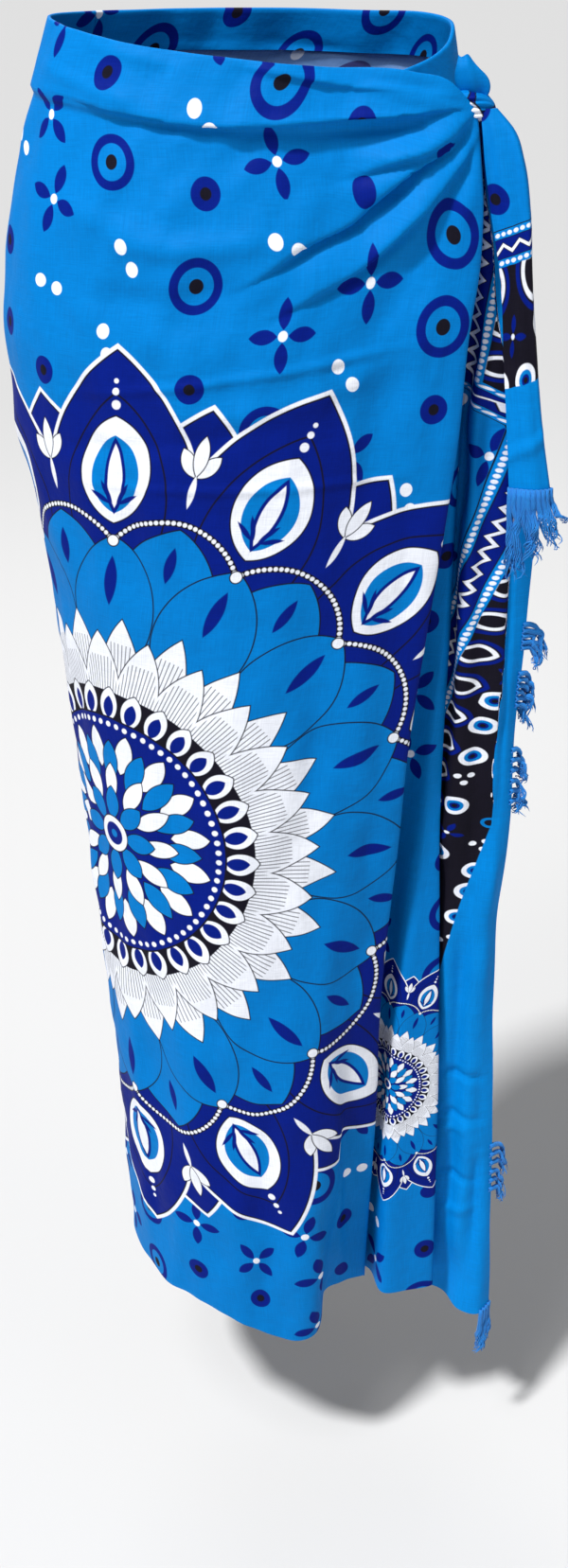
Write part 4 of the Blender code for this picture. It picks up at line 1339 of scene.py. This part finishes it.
def knot_piece(material):
    """A gathered lump of cloth with pleats that run through it."""
    shape = bmesh.new()
    bmesh.ops.create_uvsphere(shape, u_segments=96, v_segments=64, radius=1)
    layer = shape.loops.layers.uv.new("print")
    for vert in shape.verts:
        around = np.arctan2(vert.co.z, vert.co.y)
        open_share = 1 - vert.co.x ** 2
        twist = around + 0.5 * vert.co.x
        size = 1 + KNOT_PLEAT_DEPTH * cos(KNOT_PLEATS * around) * open_share
        size += KNOT_FINE_DEPTH * (abs(sin(KNOT_FINE_PLEATS / 2 * twist)) - 0.8) * open_share
        x = vert.co.x * KNOT_RADII[0]
        y = vert.co.y * KNOT_RADII[1] * size
        z = vert.co.z * KNOT_RADII[2] * size
        vert.co.x = KNOT_CENTRE[0] + x * cos(KNOT_TILT) - z * sin(KNOT_TILT)
        vert.co.y = KNOT_CENTRE[1] + y
        vert.co.z = KNOT_CENTRE[2] + x * sin(KNOT_TILT) + z * cos(KNOT_TILT)
    for face in shape.faces:
        face.smooth = True
        for loop in face.loops:
            loop[layer].uv = (loop.vert.co.x + 0.10, loop.vert.co.z - 0.50)
    mesh = bpy.data.meshes.new("knot_cloth")
    shape.to_mesh(mesh)
    shape.free()
    return add_piece("knot_cloth", mesh, [material])


def edge_reader(points):
    """A function that gives the point at a distance along a line of points."""
    stations = np.concatenate([[0.0], np.cumsum(np.linalg.norm(np.diff(points, axis=0), axis=1))])

    def read(along):
        return np.array([np.interp(along, stations, points[:, axis]) for axis in range(3)])

    return read, stations[-1]


def hem_paths(hem, strands, start, strand_end):
    """Centre lines of the strands along a lower edge, with the way out of the cloth and its normal."""
    read = edge_reader(hem)[0]
    out = np.array([0.0, 0.0, -1.0])
    normal = np.array([0.0, -1.0, 0.0])
    aside = np.array([1.0, 0.0, 0.0])
    steps = np.linspace(0, 1, FRINGE_STEPS)[:, None]
    paths = []
    for strand in range(strands):
        root = read(start + strand * STRAND_PITCH + STRAND_WIDTH / 2)
        reach, drop = strand_end(strand / (strands - 1), strand % 2)
        sway = STRAND_SWAY * np.sin(5 * steps + 0.3 * strand)
        line = root + out * (STRIP_HEIGHT * np.minimum(steps * 8, 1) - YARN_TUCK * (steps == 0))
        line = line + aside * reach * steps ** 1.3 - normal * sway * steps
        paths.append(line + out * drop * steps)
    return paths, out, normal


def tuft_paths(tuft, edge, inside):
    """Centre lines of the strands on a stretch of the upright edge."""
    heights = edge[:, 2]

    def point(line, height):
        return np.array([np.interp(-height, -heights, line[:, axis]) for axis in range(3)])

    start = tuft.start * MM
    pitch = (tuft.end - tuft.start) * MM / tuft.strands
    middle = (tuft.start + tuft.end) / 2 * MM
    out = point(edge, middle) - point(inside, middle)
    out[2] = 0.0
    out = unit(out)
    normal = np.array([out[1], -out[0], 0.0])
    paths = []
    for strand in range(tuft.strands):
        root = point(edge, start + strand * pitch - STRAND_WIDTH / 2)
        reach = (3 + (tuft.reach - 3) * (1 - strand / tuft.strands)) * MM
        drop = tuft.drop * MM * (0.8 + 0.2 * (strand % 3) / 2)
        layer = STRAND_LAYER * (1 if strand % 2 else -1)
        steps = np.linspace(0, 1, FRINGE_STEPS)[:, None]
        line = root + out * (STRIP_HEIGHT * np.minimum(steps * 6, 1) - YARN_TUCK * (steps == 0))
        line = line + out * reach * np.sin(steps * pi / 2)
        line = line + normal * (tuft.lean * MM * steps + layer * np.minimum(2 * steps, 1))
        paths.append(line + np.array([0.0, 0.0, -1.0]) * drop * steps ** 1.7)
    return paths, out, normal


def gathered(paths, share):
    """The same lines, drawn together in threes towards their tips."""
    steps = np.linspace(0, 1, FRINGE_STEPS)[:, None] ** 1.2
    drawn = []
    for number, path in enumerate(paths):
        group = paths[number // 3 * 3 : number // 3 * 3 + 3]
        drawn.append(path + (np.mean(group, axis=0) - path) * steps * share)
    return drawn


def yarn_centre(path, out, normal, around, wander, own, phase):
    """One yarn's centre line, twisted round its strand's and loose towards the tip."""
    steps = np.linspace(0, 1, FRINGE_STEPS)[: len(path), None]
    around = around + YARN_TWIST * steps
    loose = YARN_LAY * (1 + 1.6 * steps ** 2)
    side = np.cross(out, normal)
    centre = path + normal * np.cos(around) * loose + side * np.sin(around) * loose
    wave = np.sin(9 * steps + phase) * np.minimum(steps * 2, 1) * STRAND_WAVE
    centre = centre + wander[0] * wave + wander[1] * np.sin(17 * steps + 2 * phase) * steps * STRAND_CURL
    return centre + own[0] * np.sin(24 * steps + own[1, 0]) * steps * YARN_CURL


def add_tube(vertices, faces, centre):
    """A yarn as a thin tube that tapers, closed at both ends."""
    along = np.gradient(centre, axis=0)
    along /= np.linalg.norm(along, axis=1, keepdims=True)
    across = np.cross(along, YARN_SIDEWAYS)
    across /= np.linalg.norm(across, axis=1, keepdims=True)
    third = np.cross(along, across)
    first = len(vertices)
    last = len(centre) - 1
    for step, point in enumerate(centre):
        size = YARN_RADIUS * (1 - 0.35 * step / FRINGE_STEPS) * (0.25 if step == last else 1)
        for corner in range(YARN_SIDES):
            turned = 2 * pi * corner / YARN_SIDES
            vertices.append(point + (across[step] * cos(turned) + third[step] * sin(turned)) * size)
    for step in range(last):
        for corner in range(YARN_SIDES):
            a = first + step * YARN_SIDES + corner
            b = first + step * YARN_SIDES + (corner + 1) % YARN_SIDES
            faces.append((a, b, b + YARN_SIDES, a + YARN_SIDES))
    faces.append(tuple(first + last * YARN_SIDES + corner for corner in range(YARN_SIDES)))
    faces.append(tuple(first + corner for corner in reversed(range(YARN_SIDES))))


def yarn_fringe(name, paths, out, normal, material, chance):
    """Loose yarns that twist round each strand's centre line and fray towards its tip."""
    vertices = []
    faces = []
    for path in paths:
        wander = chance.normal(0, 1, (2, 3))
        phase = chance.uniform(0, 2 * pi)
        for yarn in range(YARNS):
            length = int(len(path) * chance.uniform(0.72, 1.0)) if yarn else len(path)
            own = chance.normal(0, 1, (3, 3))
            around = phase + 2 * pi * yarn / YARNS
            add_tube(vertices, faces, yarn_centre(path[:length], out, normal, around, wander, own, phase))
    mesh = bpy.data.meshes.new(name)
    mesh.from_pydata(vertices, [], faces)
    mesh.shade_smooth()
    return add_piece(name, mesh, [material])


def tail_strand_end(share, odd):
    """The tail's strands sweep out to the wearer's left, the far ones more."""
    return TAIL_STRANDS_REACH * (0.1 + 0.9 * share), TAIL_STRAND_DROP * (1 - 0.62 * share - 0.08 * odd)


def tip_strand_end(share, odd):
    return -3 * MM * (1 - share), TIP_STRAND_DROP * (1 - 0.15 * odd)


def add_fringes(tail_grid, end_grid, material):
    """Every fringe, in place of its strip of strands."""
    chance = np.random.default_rng(7)
    tail_hem = tail_grid[-1, :TAIL_FRINGE_COLUMNS]
    strands = int((edge_reader(tail_hem)[1] + STRAND_SPACE) / STRAND_PITCH)
    end_hem = end_grid[-1]
    tip_start = edge_reader(end_hem)[1] - TIP_STRANDS * STRAND_PITCH + STRAND_SPACE
    made = {
        "tail_fringe": hem_paths(tail_hem, strands, 0.0, tail_strand_end),
        "tip_fringe": hem_paths(end_hem, TIP_STRANDS, tip_start, tip_strand_end),
    }
    for tuft in TUFTS:
        made[tuft.name] = tuft_paths(tuft, end_grid[:, -1], end_grid[:, -2])
    pieces = {}
    for node, (paths, out, normal) in made.items():
        piece = yarn_fringe(node + "_yarns", gathered(paths, 0.7), out, normal, material, chance)
        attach(piece, "root")
        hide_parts(node)
        pieces[node] = piece
    return pieces


def main():
    face = printed_rayon("printed_rayon_face", False, False)
    inside = printed_rayon("printed_rayon_reverse", False, True)
    border_face = printed_rayon("border_rayon_face", True, False)
    border_inside = printed_rayon("border_rayon_reverse", True, True)
    yarn = yarn_material()
    front, seam = front_sheet([face, inside])
    back = back_sheet([face, inside], seam)
    middle = middle_sheet([face, inside])
    end, end_grid = end_sheet([border_face, border_inside])
    tail, tail_grid = tail_sheet([border_face, border_inside])
    ear = ear_sheet([face, inside])
    knot = knot_piece(face)
    pairs = [
        (front, "wrap_front", "printed_rayon"),
        (back, "wrap_back", "printed_rayon_back"),
        (middle, "fold_middle", "printed_rayon"),
        (end, "end_fall", "border_rayon"),
        (tail, "tail", "border_rayon"),
        (ear, "ear", "printed_rayon"),
        (knot, "knot", "printed_rayon"),
    ]
    for piece, node, slot in pairs:
        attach(piece, "root")
        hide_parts(node)
    fringes = add_fringes(tail_grid, end_grid, yarn)
    add_stage()


def add_lamp(name, kind, power):
    data = bpy.data.lights.new(name, kind)
    data.energy = power
    light = bpy.data.objects.new(name, data)
    bpy.context.scene.collection.objects.link(light)
    return light


def add_stage():
    """Floor, soft lights and the camera."""
    scene = bpy.context.scene
    mesh = bpy.data.meshes.new("floor")
    corners = ((-1, -1), (1, -1), (1, 1), (-1, 1))
    mesh.from_pydata([(FLOOR_HALF * x, FLOOR_HALF * y, FLOOR) for x, y in corners], [], [(0, 1, 2, 3)])
    material, tree = new_material("pale_floor")
    shader = tree.nodes["Principled BSDF"]
    shader.inputs["Base Color"].default_value = (*PALE_FLOOR, 1)
    shader.inputs["Roughness"].default_value = 0.9
    floor = add_piece("floor", mesh, [material])
    for lamp in LAMPS:
        light = add_lamp(lamp.name, "AREA", lamp.power)
        light.data.shape = "RECTANGLE"
        light.data.size = lamp.width
        light.data.size_y = lamp.depth
        light.location = lamp.place
        towards = Vector(lamp.target) - Vector(lamp.place)
        light.rotation_euler = towards.to_track_quat("-Z", "Y").to_euler()
    sun = add_lamp("sun", "SUN", SUN_LIGHT)
    sun.data.angle = SUN_SOFTNESS
    sun.rotation_euler = SUN_TURN
    world = bpy.data.worlds.new("studio")
    world.use_nodes = True
    background = world.node_tree.nodes["Background"]
    background.inputs["Color"].default_value = (1, 1, 1, 1)
    background.inputs["Strength"].default_value = WORLD_LIGHT
    scene.world = world
    scene.view_settings.view_transform = "Standard"
    data = bpy.data.cameras.new("camera")
    data.sensor_fit = "VERTICAL"
    data.sensor_height = SENSOR
    data.lens = SENSOR * FOCAL_PIXELS / PHOTO_HEIGHT
    data.clip_start = 0.05
    camera = bpy.data.objects.new("camera", data)
    scene.collection.objects.link(camera)
    camera.location = CAMERA_PLACE
    camera.rotation_euler = (radians(90 - CAMERA_PITCH), 0, 0)
    scene.camera = camera


main()
